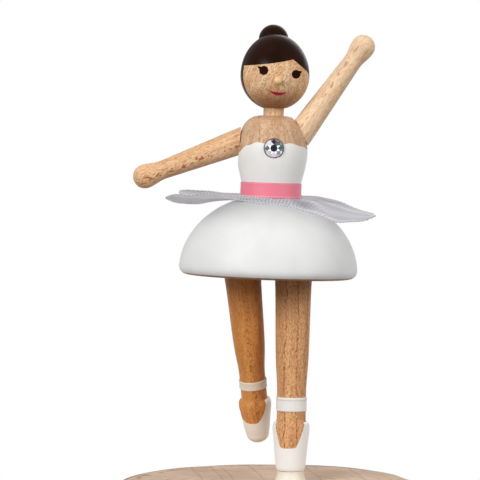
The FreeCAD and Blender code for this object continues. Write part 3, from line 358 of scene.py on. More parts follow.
def sheer(name, colour, shade, edge_colour, rib, under):
    """Sheer ribbon: soft cross ribs that end in pale teeth along the edges, where V is -1 and 1."""
    look, flat, wave, ribs, clouds = woven(name, rib)
    share = look.plus(look.times(ribs, 0.4), look.times(clouds, 0.6))
    tone = look.mix(share, srgb(*shade), srgb(*colour))
    if under:
        edge = look.step(look.times(flat[1], -1.0), 0.30, 0.50)
    else:
        across = look.math("ABSOLUTE", flat[1])
        edge = look.step(across, 0.62, 0.80)
        heart = look.plus(look.times(ribs, 0.35), 0.15)
        tone = look.tint(tone, look.fade(across, 0.05, 0.60), heart, edge_colour)
    teeth = look.plus(look.times(ribs, 0.45), 0.45 if under else 0.25)
    look.set(Base_Color=look.tint(tone, edge, teeth, edge_colour), Roughness=0.5, Specular_IOR_Level=0.3,
             Sheen_Weight=0.3, Sheen_Roughness=0.4, Subsurface_Weight=0.9, Subsurface_Radius=(1, 1, 1),
             Subsurface_Scale=2.0 * MM)
    return look.bump(wave, 0.05, 0.35)


def pile(name, colour, shade, cell):
    """Felt or velvet: short matted fibres with a soft sheen."""
    look = Look(name)
    fibres = look.noise(cell, None, 3.0, 0.7)
    tone = look.plus(look.times(fibres, 0.6), look.times(look.noise(9), 0.4))
    look.set(Base_Color=look.blend(tone, 0.35, 0.65, shade, colour), Roughness=0.95, Sheen_Weight=0.6,
             Sheen_Roughness=0.5, Specular_IOR_Level=0.1)
    return look.bump(fibres, 0.25, 0.9)


def metal(name, colour, shade, rough, cell):
    """Metal with fine tool marks and a little tarnish."""
    look = Look(name)
    stains = look.noise(4, None, 3.0)
    dull = look.node("MapRange", {"Value": stains, "To Min": rough, "To Max": rough + 0.2}).outputs[0]
    look.set(Base_Color=look.blend(stains, 0.4, 0.75, colour, shade), Metallic=1.0, Roughness=dull)
    return look.bump(look.noise(cell), 0.01, 0.4)


shoe_paint = paint("shoe_paint", (243, 243, 241), 0.25)
collar_paint = paint("collar_paint", (232, 228, 214), 0.3, (228, 219, 194))
hair_paint = paint("hair_paint", (40, 18, 8), 0.5, (31, 13, 6), 0.25, 0.35, 0.07, 1.0)
brass = metal("brass", (214, 178, 104), (176, 136, 70), 0.22, (0.08, 0.08, 2))
steel = metal("steel", (196, 198, 202), (160, 162, 168), 0.26, (2, 0.1, 0.1))
floor_wood = beech("floor_wood", tilt(90, "X"), (214, 180, 140), (196, 156, 112), (150, 106, 68))
log_look = log_wood()


# Mesh helpers

def piece(name, vertices, faces, materials, face_materials=None, smooth_angle=38, uvs=None):
    """A mesh object with its materials; edges sharper than the angle stay crisp."""
    mesh = bpy.data.meshes.new(name)
    mesh.from_pydata([tuple(v) for v in vertices], [], faces)
    for material in materials:
        mesh.materials.append(material)
    if face_materials:
        mesh.polygons.foreach_set("material_index", face_materials)
    if uvs:
        layer = mesh.uv_layers.new(name="ribbon")
        for loop in mesh.loops:
            layer.data[loop.index].uv = uvs[loop.vertex_index]
    mesh.shade_smooth()
    mesh.set_sharp_from_angle(angle=radians(smooth_angle))
    made = bpy.data.objects.new(name, mesh)
    scene.collection.objects.link(made)
    return made


def grid_faces(rows, columns, wrap=True):
    """Quads between rings of vertices, closed round when they wrap."""
    faces = []
    last = columns if wrap else columns - 1
    for r in range(rows - 1):
        for c in range(last):
            d = (c + 1) % columns
            faces.append((r * columns + c, r * columns + d, (r + 1) * columns + d, (r + 1) * columns + c))
    return faces


def section_faces(rings, columns):
    """Quads between rings round a section: the last ring joins the first."""
    last = (rings - 1) * columns
    closing = [(last + c, last + (c + 1) % columns, (c + 1) % columns, c) for c in range(columns)]
    return grid_faces(rings, columns) + closing


def surface_of(node):
    """A ray-cast tree of a CAD node at rest."""
    mesh = nodes[node].data
    mesh.calc_loop_triangles()
    corners = [tuple(v.co) for v in mesh.vertices]
    return BVHTree.FromPolygons(corners, [tuple(t.vertices) for t in mesh.loop_triangles])


def radius_at(tree, place, angle, height):
    """Distance of the outer surface from a frame's Z axis, at an angle and a height."""
    outward = polar(1, angle)
    start = place @ (outward * FAR + UP * height)
    hit = tree.ray_cast(start, place.to_3x3() @ -outward, FAR)[0]
    return (place.inverted() @ hit).to_2d().length if hit else 0.0


def turned(name, node, place, zones, columns=144):
    """A turned piece of the dancer made again from its CAD node, painted in zones with crisp borders.

    Zones run up the axis as (material, lower border, upper border, rows, coat); a border is a height or a
    function of the angle, and a coat stands that much proud of the wood.
    """
    tree = surface_of(node)
    vertices, face_materials, materials = [], [], []
    for material, low, high, rows, coat in zones:
        if material not in materials:
            materials.append(material)
        for r in range(rows + 1):
            for angle in around(columns):
                bottom = low(angle) if callable(low) else low
                top = high(angle) if callable(high) else high
                height = bottom + (top - bottom) * r / rows
                radius = radius_at(tree, place, angle, max(height, SLIVER)) + coat
                vertices.append(place @ polar(radius, angle, height))
            face_materials += [materials.index(material)] * columns
    rings = len(vertices) // columns
    faces = grid_faces(rings, columns)
    face_materials = face_materials[columns:] + [face_materials[0]] * 2 * columns
    for ring, is_foot in ((0, True), (rings - 1, False)):
        corners = range(ring * columns, (ring + 1) * columns)
        hub = len(vertices)
        vertices.append(sum((vertices[c] for c in corners), Vector()) / columns)
        for a, b in zip(corners, [*corners[1:], corners[0]]):
            faces.append((hub, b, a) if is_foot else (hub, a, b))
    made = piece(name, vertices, faces, materials, face_materials)
    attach(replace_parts(made, node), "ballerina")


# The photograph's camera, and what it sees at a pixel

CAMERA = Vector((-9.33 * MM, -820 * MM, lid_top + 109 * MM))
AIM = Vector((-9.33 * MM, 0, lid_top + 81 * MM))
FRAME_WIDTH = 160 * MM
PIXELS = 480
view_turn = (AIM - CAMERA).to_track_quat("-Z", "Y").to_matrix()
view_depth = (AIM - CAMERA).length


def sight(px, py):
    """Direction of the view through a pixel of the photograph."""
    half = PIXELS / 2
    pitch = FRAME_WIDTH / PIXELS
    return (view_turn @ Vector(((px - half) * pitch, (half - py) * pitch, -view_depth))).normalized()


def on_head(px, py, lift):
    """Where the view through a pixel meets the head, lifted a little off it."""
    radius = head_radius + lift
    hit = None
    for squash in (1.0, radius / (HEAD_CROWN + lift)):
        if hit and hit.z < head_centre.z:
            break
        direction = sight(px, py)
        direction.z *= squash
        towards = head_centre - CAMERA
        towards.z *= squash
        near = towards.dot(direction) / direction.length
        miss = towards.length_squared - near * near
        reach = (near - math.sqrt(max(radius * radius - miss, 0.0))) / direction.length
        hit = CAMERA + sight(px, py) * reach
    return hit


def on_node(px, py, tree, place):
    """Where the view through a pixel meets a node at a place, or passes nearest."""
    direction = sight(px, py)
    beside = CAMERA + direction * (place.to_translation() - CAMERA).dot(direction)
    return tree.ray_cast(CAMERA, direction)[0] or tree.find_nearest(beside)[0]


def from_front(angle):
    """An angle round Z as degrees from the front, positive to the viewer's right."""
    return (math.degrees(angle) + 90 + 180) % 360 - 180


def between(table, x, ease=None):
    """Value of a table at x, straight or eased between its points, level beyond."""
    x = clamp(x, table[0][0], table[-1][0])
    for (x0, v0), (x1, v1) in zip(table, table[1:]):
        if x <= x1:
            share = (x - x0) / (x1 - x0)
            return v0 + (v1 - v0) * (ease(share) if ease else share)


# Log box and lid

COLUMNS = 360
RIM = 0.7 * MM
FURROW = 0.5 * MM


def outline_of(node, height):
    """Outer radius of a node round the part's Z axis at one height."""
    tree = surface_of(node)
    return [radius_at(tree, Matrix.Identity(4), angle, height) for angle in around(COLUMNS)]


def log_ring(name, node, outline, stations):
    """A ring of log: stations run round its section as (inset, height, circle, furrow).

    A station lies its inset inside the outline, or on a circle of (x, radius); furrow is the share of their
    full depth that the side's lengthwise furrows have there.
    """
    vertices = []
    for inset, height, circle, furrow in stations:
        for angle, reach in zip(around(COLUMNS), outline):
            direction = polar(1, angle)
            if circle:
                vertices.append(Vector((circle[0], 0, height)) + direction * circle[1])
                continue
            radius = reach - inset
            if furrow:
                spot = Vector((direction.x * 9, direction.y * 9, height / (55 * MM)))
                deep = 0.5 + 0.5 * noise.noise(spot) + 0.35 * noise.noise(spot * 3.1)
                radius -= FURROW * furrow * max(0.0, deep)
            vertices.append(direction * radius + UP * height)
    made = piece(name, vertices, section_faces(len(stations), COLUMNS), [log_look], smooth_angle=30)
    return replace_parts(made, node)


def log_side(low, high, rows):
    """Stations up the furrowed side of a log, eased over at both edges."""
    stations = [(RIM, low, None, 0), (0.3 * RIM, low + 0.3 * RIM, None, 0.5)]
    for r in range(rows + 1):
        stations.append((0, low + RIM + (high - low - 2 * RIM) * r / rows, None, 1))
    return stations + [(0.3 * RIM, high - 0.3 * RIM, None, 0.5), (RIM, high, None, 0)]


def circles(x, *points):
    """Stations on circles about an axis at x, from points of (radius, height)."""
    return [(0, z, (x, radius), 0) for radius, z in points]


RECESS, CHAMBER, COMPARTMENT, BOSS = 36 * MM, 40 * MM, 42 * MM, 41.6 * MM
box_low, box_high = (v.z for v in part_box("box_wall"))
ledge_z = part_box("movement_floor")[0].z
step_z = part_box("tray_floor")[0].z
outline = outline_of("box_wall", (box_low + box_high) / 2)
stations = log_side(box_low, box_high, 14)
stations += circles(0, (COMPARTMENT, box_high), (COMPARTMENT, step_z), (CHAMBER, step_z), (CHAMBER, ledge_z),
                    (RECESS, ledge_z), (RECESS, box_low))
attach(log_ring("log_box", "box_wall", outline, stations), "box")

slice_low = box_high
boss_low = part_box("lid_slice")[0].z
bush_radius = radius_of("spindle_bush")
outline = outline_of("lid_slice", (slice_low + lid_top) / 2)
stations = log_side(slice_low, lid_top, 8)
TOP_ROWS, TOP_REACH = 6, 38 * MM
for r in range(1, TOP_ROWS):
    stations.append((RIM + TOP_REACH * r / TOP_ROWS, lid_top, None, 0))
stations += circles(spin_x, (bush_radius, lid_top), (bush_radius, boss_low))
stations += circles(0, (BOSS, boss_low), (BOSS, slice_low))
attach(log_ring("log_slice", "lid_slice", outline, stations), "lid")


# Felt under the box and velvet on the tray, as cloth cut to shape

def hole_of(node, height, x):
    """Radius of a ring-shaped node's hole about an axis at x, at one height."""
    tree = surface_of(node)
    start = Vector((x, 0, height))
    return [(tree.ray_cast(start, polar(1, angle))[0] - start).length for angle in around(COLUMNS)]


def cloth_ring(name, node, material, hole_x, nap):
    """A ring of cloth cut as its CAD node, with soft edges and an uneven nap."""
    low, high = (v.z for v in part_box(node))
    outer = outline_of(node, (low + high) / 2)
    inner = hole_of(node, (low + high) / 2, hole_x)
    across = 24
    edge = 0.35 * (high - low)
    middle_rows = [(r / across, 1, 0) for r in range(1, across)]
    rings = [(0, 0, edge), (0, 0.3, 0), (0, 0.7, 0), (0, 1, edge), *middle_rows, (1, 1, -edge), (1, 0.7, 0),
             (1, 0.3, 0), (1, 0, -edge)]
    vertices = []
    for share, level, inset in rings:
        for angle, hole, reach in zip(around(COLUMNS), inner, outer):
            direction = polar(1, angle)
            within = direction * (hole + max(inset, 0)) + Vector((hole_x, 0, 0))
            spot = within.lerp(direction * (reach + min(inset, 0)), share)
            height = low + (high - low) * level
            if level == 1:
                height += nap * noise.noise(spot / (1.6 * MM))
            vertices.append(spot + UP * height)
    faces = [tuple(reversed(f)) for f in section_faces(len(rings), COLUMNS)]
    made = piece(name, vertices, faces, [material], smooth_angle=60)
    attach(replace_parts(made, node), "box")


felt = pile("felt", (74, 64, 56), (52, 44, 38), 0.3)
velvet = pile("velvet", (158, 62, 88), (112, 36, 60), 0.35)
cloth_ring("felt_foot", "felt_ring", felt, 0.0, 0.0)
cloth_ring("velvet_tray", "velvet_lining", velvet, spin_x, 0.06 * MM)

# The dancer's frames, from the sizes of the turned pieces

LEAN = 2.0
BODY_OFFSET = 9.95 * MM
SKIRT_BASE = 68.6 * MM
NECK_SHOW, TORSO_HEIGHT, WAIST_HEIGHT = 2.5 * MM, 27.4 * MM, 5.2 * MM
TUTU_STACK = 1.3 * MM
SHOE, RAISED_SHOE = 16.6 * MM, 15.7 * MM
RAISED_HIP, RAISED_LENGTH = (-8.4 * MM, 2.0 * MM, SKIRT_BASE), 59.3 * MM
THIGH = 6.2 * MM
COAT = 0.07 * MM
body = shift(spin_x, 0, lid_top) @ tilt(LEAN, "Y") @ shift(-BODY_OFFSET, 0, 0)
head_seat = (body.inverted() @ trunk.to_translation()).z
torso_base = head_seat - NECK_SHOW - TORSO_HEIGHT
skirt_top = torso_base - TUTU_STACK
torso = body @ shift(0, 0, torso_base)
raised = body @ shift(*RAISED_HIP) @ tilt(14.0, "X") @ tilt(-7.2, "Y") @ shift(0, 0, -RAISED_LENGTH)

# Frames that point down from the skirt's base, the waist and the chin, where shade begins
under = body @ shift(0, 0, SKIRT_BASE) @ tilt(180, "X")
waist = body @ shift(0, 0, skirt_top) @ tilt(180, "X")
chin = shift(0, 0, head_low.z) @ tilt(180, "X")

# Both legs' wood is painted with shade towards its top, where the skirt shades it.
leg_wood = beech("leg_beech", standing, (230, 176, 124), (212, 155, 104), (130, 74, 35), (0.36, 0.80, 0.48),
                 lines=((-2.4, 0.42, 0.75), (1.6, 0.42, 0.75), (4.6, 0.35, 0.6)),
                 deep=(under, 15.0, 3.0, 0.27))
raised_wood = beech("raised_leg_beech", raised, (220, 152, 84), (206, 135, 68), (146, 82, 30),
                    (0.34, 0.8, 0.36), flecks=((0.2, 1.2, 1.5, 0.75), (3.4, 0.7, 2.2, 0.4)),
                    deep=(under, 21.0, 3.0, 0.27))
torso_wood = beech("torso_beech", torso, (222, 184, 150), (202, 160, 122), (142, 94, 56), (0.36, 1.3, 0.4),
                   lines=((-4.9, 0.28, 0.35),))
skirt_edge_wood = beech("skirt_edge", body, (190, 150, 112), (168, 124, 88), (120, 78, 48))
bodice_paint = paint("bodice_paint", (241, 239, 235), 0.3)
raised_shoe_paint = paint("raised_shoe_paint", (243, 233, 221), 0.3)
# The skirt's paint is painted with shade near the waist, standing in for the tutu's shadow.
white_paint = paint("white_paint", (232, 232, 231), 0.15, deep=(waist, 9.5, 1.0, 0.26))


def under_skirt(place):
    """How far up a leg the skirt's underside comes, by the angle round the leg."""
    plane = body @ Vector((0, 0, SKIRT_BASE - 0.1 * MM))
    normal = body.to_3x3() @ UP
    axis = place.to_3x3() @ UP

    def top(angle):
        return normal.dot(plane - place @ polar(THIGH, angle)) / normal.dot(axis)
    return top


def round_rise(share):
    """Rise of a rounded U from its lowest point to its side."""
    return share ** 2.6


def square_rise(share):
    """Rise of a U with a broad bottom and steep sides."""
    return 0.88 * smooth(clamp((share - 0.42) / 0.58)) + 0.12 * share ** 2


def shoe_border(place, node, pixels, top, rise):
    """The painted shoe's edge: a U over the instep, by its lowest, left and right pixels."""
    tree = surface_of(node)
    spots = [place.inverted() @ on_node(*pixel, tree, place) for pixel in pixels]
    middle_angle, left_angle, right_angle = (from_front(math.atan2(s.y, s.x)) for s in spots)
    low = spots[0].z

    def border(angle):
        away = from_front(angle) - middle_angle
        share = abs(away / ((right_angle if away > 0 else left_angle) - middle_angle))
        return low + (top - low) * rise(min(1.0, share))
    return border


def leg(name, node, place, wood, coat_look, shoe, foot, pixels, rise):
    """A leg: painted shoe from the foot up, bare ankle and thigh."""
    border = shoe_border(place, node, pixels, shoe - 2 * SLIVER, rise)
    zones = [
        (coat_look, foot, 3 * MM, 12, COAT), (coat_look, 3 * MM, border, 22, COAT),
        (wood, border, shoe - SLIVER, 10, 0), (wood, shoe + SLIVER, under_skirt(place), 60, 0),
    ]
    turned(name, node, place, zones)


leg("stance_leg", "standing_leg", standing, leg_wood, shoe_paint, SHOE, -0.09 * MM,
    ((286.2, 448.6), (275, 425), (305.6, 425)), square_rise)
leg("lifted_leg", "raised_leg", raised, raised_wood, raised_shoe_paint, RAISED_SHOE, SLIVER,
    ((254, 424), (239, 398), (266, 402)), round_rise)

paint_line = SKIRT_BASE + 0.7 * MM
zones = [(skirt_edge_wood, SKIRT_BASE + SLIVER, paint_line, 5, 0),
         (white_paint, paint_line, skirt_top - SLIVER, 70, COAT)]
turned("half_ball_skirt", "skirt", body, zones, 240)

# Torso: bare shoulders over a white bodice, its edge in degrees from the front and millimetres

NECKLINE = (
    (-180, 14.6), (-110, 14.3), (-72, 14.7), (-45, 17.3), (-26, 18.4), (-10, 17.9), (0, 16.8), (12, 17.8),
    (29, 18.4), (55, 17.5), (88, 16.2), (125, 14.8), (180, 14.6),
)


def bodice_edge(angle):
    return between(NECKLINE, from_front(angle), smooth) * MM


zones = [
    (torso_wood, SLIVER, WAIST_HEIGHT, 4, 0), (bodice_paint, WAIST_HEIGHT, bodice_edge, 30, COAT),
    (torso_wood, bodice_edge, TORSO_HEIGHT - SLIVER, 36, 0),
]
turned("bodice", "torso", torso, zones, 240)

# Head: painted hair with a parting, eyes with lashes, and a small mouth

# Elevation of the hairline by degrees from the front; behind its ends the hair reaches the nape
HAIRLINE = (
    (-72, -70), (-68.5, 16.5), (-58, 16.1), (-45, 16.2), (-32.6, 16.7), (-18, 17.5), (-3, 19.1), (10, 21.1),
    (22, 23.4), (33.7, 26), (37, 23.4), (42, 19.4), (48.3, 15.4), (60, 9.4), (74.3, 3.2), (86.5, -4),
    (90.5, -70),
)
LOWEST, HIGHEST = radians(-88), radians(89.5)
head_place = shift(*head_centre)
# The face's wood is painted darker towards the chin: painted shade.
face_wood = beech("face_beech", head_place @ tilt(28, "Y") @ tilt(20, "X"), (242, 204, 164), (227, 175, 124),
                  (148, 84, 36), (0.38, 0.95, 0.56), deep=(head_place, -3.0, -10.5, 0.72))


def ball_head():
    """The head as a ball in two zones, bare face and painted hair, with a crisp edge."""
    columns, rows = 360, 60
    vertices, face_materials = [], []
    for index in (0, 1):
        for r in range(rows + 1):
            for angle in around(columns):
                edge = radians(between(HAIRLINE, from_front(angle)))
                if edge > 0:
                    edge = math.asin(sin(edge) * head_radius / HEAD_CROWN)
                low, high = ((LOWEST, edge), (edge, HIGHEST))[index]
                rise = low + (high - low) * r / rows
                flat = (head_radius + index * COAT) * cos(rise)
                height = (HEAD_CROWN if rise > 0 else head_radius) + index * COAT
                vertices.append(head_centre + polar(flat, angle, height * sin(rise)))
            face_materials += [index] * columns
    rings = len(vertices) // columns
    faces = grid_faces(rings, columns)
    faces.append(tuple(reversed(range(columns))))
    faces.append(tuple(range((rings - 1) * columns, rings * columns)))
    face_materials = face_materials[columns:] + [0, 1]
    made = piece("ball_head", vertices, faces, [face_wood, hair_paint], face_materials)
    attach(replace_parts(made, "head"), "head")


ball_head()


def decal(name, outline, centre, material):
    """A thin painted shape on the head, from an outline in the photograph's pixels about a centre."""
    film = 0.09 * MM
    rings = 5
    vertices = []
    for share, lift in [(1.0, -film)] + [(1.0 - r / rings, film) for r in range(rings)]:
        for pixel in outline:
            vertices.append(on_head(*(c + (p - c) * share for c, p in zip(centre, pixel)), lift))
    count = len(outline)
    faces = grid_faces(rings + 1, count)
    vertices.append(on_head(*centre, film))
    last = rings * count
    faces += [(last + c, last + (c + 1) % count, len(vertices) - 1) for c in range(count)]
    faces.append(tuple(reversed(range(count))))
    made = piece(name, vertices, faces, [material], smooth_angle=50)
    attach(made, "head")


eye_paint = paint("eye_paint", (46, 19, 10), 0.3, (36, 14, 8), 0.7, 0.4, 0.02)
mouth_paint = paint("mouth_paint", (174, 22, 56), 0.3, (150, 16, 46), 0.5, 0.4, 0.2)
LASH_ROOT = 1.3


def eye(name, centre, radius, tip):
    """A round eye with one lash that flicks out to a tip."""
    reach = math.atan2(tip[1] - centre[1], tip[0] - centre[0])
    outline = [polar(radius, reach + angle) for angle in around(36)]
    outline[1] *= LASH_ROOT
    outline[-1] *= LASH_ROOT
    outline = [(centre[0] + spot.x, centre[1] + spot.y) for spot in outline]
    outline[0] = tip
    decal(name, list(reversed(outline)), centre, eye_paint)


eye("eye_right", (263.7, 70.3), 4.5, (257.4, 66.2))
eye("eye_left", (296.1, 74.2), 4.3, (301.9, 71.3))


def bow(left, right, sag, count=14):
    """Pixels along a line between two corners that sags in the middle."""
    points = []
    for n in range(count + 1):
        t = n / count
        dip = sag * 4 * t * (1 - t)
        points.append((left[0] + (right[0] - left[0]) * t, left[1] + (right[1] - left[1]) * t + dip))
    return points


LIP_CORNERS = (268.6, 90.2), (286.4, 92.2)
lips = bow(*LIP_CORNERS, 4.2) + list(reversed(bow(*LIP_CORNERS, 1.0)))[1:-1]
decal("mouth", lips, (277.3, 93.6), mouth_paint)


# Ribbons round the waist and ankles, each lapped over its own end at the back

LAP = 16


def band(name, node, place, low, high, inner, look, hem, stitches=0):
    """A ribbon wrapped once round, in millimetres: edges, a lap behind, stitches."""
    columns, rows = 240, 16
    thick = 0.22 * MM
    low, high, inner, hem = (size * MM for size in (low, high, inner, hem))
    width = high - low
    vertices, uvs = [], []
    for r in range(-1, rows + 2):
        share = clamp(r / rows)
        to_edge = min(share, 1 - share) * width
        for angle in around(columns):
            radius = inner
            if 0 <= r <= rows:
                behind = from_front(angle) % 360 - 180
                radius += thick + 0.16 * MM * clamp((LAP - abs(behind)) / 3)
                radius += hem * math.exp(-((to_edge - 0.35 * MM) / (0.22 * MM)) ** 2)
                radius -= 0.10 * MM * max(0.0, 1 - to_edge / (0.12 * MM))
                radius += 0.05 * MM * noise.noise(polar(3, angle, share * 2))
                if stitches:
                    line = (1 - share) * width - 0.75 * MM - 0.22 * MM * sin(angle * stitches)
                    radius += 0.07 * MM * math.exp(-(line / (0.14 * MM)) ** 2)
            vertices.append(place @ polar(radius, angle, low + width * share))
            uvs.append((angle * inner, width * share))
    made = piece(name, vertices, section_faces(rows + 3, columns), [look], smooth_angle=50, uvs=uvs)
    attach(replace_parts(made, node), "ballerina")


# The pink ribbon's paler dotted row near its lower edge is a painted highlight; the white ankle ribbon's
# darker row is its stitching.
pink = satin("pink_satin", (243, 132, 152), (236, 120, 142), 0.24, 0.15, (0.5, 0.9, (250, 186, 196)))
white_satin = satin("white_satin", (244, 243, 240), (230, 227, 222), 0.40, 0.3, (3.7, 0.64, (196, 190, 184)))
# The lifted ankle's ribbon is the white satin painted warmer and darker: painted shade.
shaded_white_satin = satin("shaded_white_satin", (242, 227, 208), (228, 211, 190), 0.40, 0.3)
band("waist_band", "waist_ribbon", torso, 0.1, WAIST_HEIGHT / MM - 0.1, 9.95, pink, 0.06)
band("stance_ankle_band", "standing_ankle_ribbon", standing, 20.15, 24.75, 4.9, white_satin, 0.07, 34)
band("lifted_ankle_band", "raised_ankle_ribbon", raised, 19.6, 22.6, 4.42, shaded_white_satin, 0.07, 30)

# Tutu: two leaves of ribbed sheer ribbon, crossed over the skirt under the waist

HALF, SHORT, WIDE = 35.7 * MM, 31.3 * MM, 16 * MM
RIB, WAVE = 1.06, 9.1
FRONT_TURN = 17
FREE = 11.5 * MM
# The top side and the underside are one ribbon, the underside painted much lighter: painted light for the
# light that comes through the sheer.
tutu_look = sheer("tutu_ribbon", (149, 148, 155), (128, 126, 134), (198, 198, 205), RIB, False)
tutu_under = sheer("tutu_ribbon_under", (214, 213, 225), (198, 197, 210), (255, 255, 255), RIB, True)

# Heights by x, in millimetres, where the front leaf's left end turns over
LIFT = ((-36, 5.0), (-27, 4.8), (-22, 3.4), (-18, 2.1), (-14, 0.7), (-10, 0.0))
HUMP = ((-22, 0.0), (-13, 1.1), (3, 1.0), (12, 0.0))
DROP = ((-36, 4.4), (-25, 3.8), (-20, 2.8), (-15, 1.7), (-8, 0.3), (0, 0.0))


def turn_up(spot, lowers):
    """Height that a leaf gains at its near edge, and loses at its far edge if it lowers."""
    share = clamp(spot.y / WIDE, -1.0)
    if share < 0:
        out = clamp((spot.length - FREE) / (5.5 * MM))
        hump = between(HUMP, spot.x / MM) * sin(pi * out)
        return (hump - share * between(LIFT, spot.x / MM)) * MM
    return -share * between(DROP, spot.x / MM) * MM if lowers else 0.0


def ripple(x, pitch):
    return sin(2 * pi * x / (pitch * MM))


def half_width(along_leaf):
    """Half the leaf's width at a share of its half length."""
    return WIDE * (1 - abs(along_leaf) ** 2.5) ** 0.4


def leaf(name, node, turn, left, clear):
    """A leaf laid on the CAD ribbon's surface, with real ribs and a wavy edge."""
    swing = tilt(turn - FRONT_TURN, "Z")
    lowers = turn == FRONT_TURN
    tree = surface_of(node)
    place = body @ tilt(turn, "Z")
    inverse = place.inverted()
    down = place.to_3x3() @ -UP
    columns, rows = 612, 18
    thick = 0.16 * MM
    middle_z = torso_base - clear
    top_side, under_side, uvs = [], [], []
    for r in range(rows + 1):
        across = 2 * r / rows - 1
        for c in range(columns + 1):
            along_leaf = (2 * c / columns - 1) * 0.9965
            x = along_leaf * (HALF if along_leaf > 0 else left)
            y = across * half_width(along_leaf)
            inward = Vector((x, y, 0)) * 0.995
            hit = tree.ray_cast(place @ (inward + UP * 0.2), down)[0]
            below = tree.ray_cast(place @ inward, -down)[0]
            z = ((inverse @ hit).z + (inverse @ below).z) / 2 if hit and below else middle_z
            reach = max(0.0, (math.hypot(x, y) - FREE) / HALF)
            z += (0.04 + 0.05 * across ** 6) * MM * ripple(x, RIB) * min(1.0, 6 * reach)
            z += turn_up(swing @ Vector((x, y, 0)), lowers) * min(1.0, 10 * reach)
            z += 0.12 * MM * across ** 4 * ripple(x, WAVE) * min(1.0, 4 * reach)
            top_side.append(place @ Vector((x, y, z + thick)))
            under_side.append(place @ Vector((x, y, z - thick)))
            uvs.append((x, across))
    count = columns + 1
    faces = grid_faces(rows + 1, count, False)
    sides = [0] * len(faces) + [1] * len(faces)
    offset = len(top_side)
    faces += [tuple(offset + v for v in reversed(f)) for f in faces]
    rim_line = list(range(count)) + [r * count + columns for r in range(1, rows + 1)]
    rim_line += [rows * count + c for c in range(columns - 1, -1, -1)]
    rim_line += [r * count for r in range(rows - 1, 0, -1)]
    for a, b in zip(rim_line, rim_line[1:] + rim_line[:1]):
        faces.append((b, a, offset + a, offset + b))
    sides += [0] * len(rim_line)
    made = piece(name, top_side + under_side, faces, [tutu_look, tutu_under], sides, 60, uvs + uvs)
    made.visible_shadow = False
    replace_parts(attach(made, "ballerina"), node)


leaf("tutu_leaf_front", "tutu_ribbon_front", FRONT_TURN, HALF, 0.95 * MM)
leaf("tutu_leaf_back", "tutu_ribbon_back", -FRONT_TURN, SHORT, 0.35 * MM)

# Rhinestone: a foiled brilliant, its facets in light and dark tones of painted reflection

stone_low, stone_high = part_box("rhinestone")
stone_place = shift(middle("rhinestone").x, stone_high.y, middle("rhinestone").z) @ tilt(90, "X")
stone_radius = radius_of("rhinestone")
GIRDLE = 0.7 * MM

# Places in the stone's list of looks: table, glue, and by sector from the viewer's right and up the star,
# the kite and two facets at the girdle. Apart from the glue, the looks are painted reflections.
TABLE_TONE, GLUE_TONE = 2, 5
FACET_REFLECTION_TONES = ((1, 1, 1, 4), (1, 1, 4, 4), (0, 3, 4, 0), (0, 0, 0, 0), (0, 1, 4, 0), (0, 0, 0, 0),
               (0, 0, 0, 0), (0, 4, 0, 1))
# Facet looks as painted reflections: name, colour, shade, and for the brightest a painted glow.
PAINTED_FACET_LOOKS = (
    ("stone_light", (244, 244, 248), (232, 232, 238), 0.28), ("stone_grey", (128, 146, 150), (96, 112, 118)),
    ("stone_dark", (46, 46, 54), (28, 28, 34)), ("stone_violet", (72, 44, 86), (50, 28, 60)),
    ("stone_pale", (196, 200, 208), (160, 166, 176)),
)


def foil(name, colour, shade, painted_glow=0.0):
    """Glass over foil, with a little painted glow that stands in for bright reflections."""
    look = Look(name)
    look.set(Base_Color=look.blend(look.noise(0.7, None, 1.0), 0.4, 0.6, colour, shade), Metallic=0.85,
             Roughness=0.16, Coat_Weight=0.6, Coat_Roughness=0.03, Emission_Color=srgb(*colour),
             Emission_Strength=painted_glow)
    return look.material


def brilliant():
    """A brilliant: table, star and kite facets in painted reflection tones over a girdle, in a collar of
    glue.
    """
    looks = [foil(*values) for values in PAINTED_FACET_LOOKS]
    looks.append(paint("stone_glue", (112, 84, 78), 0.2, (90, 64, 60), 0.4, 0.3))
    high = stone_high.y - stone_low.y
    around_glue = 48
    rings = [(16, 1.0, GIRDLE, 0.0), (8, 0.76, GIRDLE + 0.55 * (high - GIRDLE), 0.5), (8, 0.40, high, 0.0)]
    glue = ((1.0, GIRDLE), (1.0, 0), (1.09, -0.25 * MM), (1.10, 0.25 * MM), (1.05, 0.62 * MM), (1.0, GIRDLE))
    rings += [(around_glue, reach, z, 0.0) for reach, z in glue]
    vertices = []
    for count, reach, z, offset in rings:
        vertices += [stone_place @ polar(stone_radius * reach, angle, z) for angle in around(count, offset)]
    faces = [tuple(range(24, 32))]
    for n in range(8):
        outer = [(2 * n + k) % 16 for k in range(3)]
        before, here = 16 + (n - 1) % 8, 16 + n
        corner, beside = 24 + n, 24 + (n + 1) % 8
        faces += [(corner, here, beside), (corner, before, outer[0], here), (here, outer[0], outer[1]),
                  (here, outer[1], outer[2])]
    collar = [tuple(32 + v for v in f) for f in grid_faces(len(glue), around_glue)]
    tones = [TABLE_TONE] + [tone for sector in FACET_REFLECTION_TONES for tone in sector] + [GLUE_TONE] * len(collar)
    made = piece("brilliant_stone", vertices, faces + collar, looks, tones, smooth_angle=5)
    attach(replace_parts(made, "rhinestone"), "ballerina")


brilliant()


# Finish of the CAD nodes that no piece replaces

def dress(material, *names):
    """Gives CAD nodes a material and smooth shading."""
    for name in names:
        mesh = nodes[name].data
        mesh.materials.clear()
        mesh.materials.append(material)
        mesh.shade_smooth()
        mesh.set_sharp_from_angle(angle=radians(32))


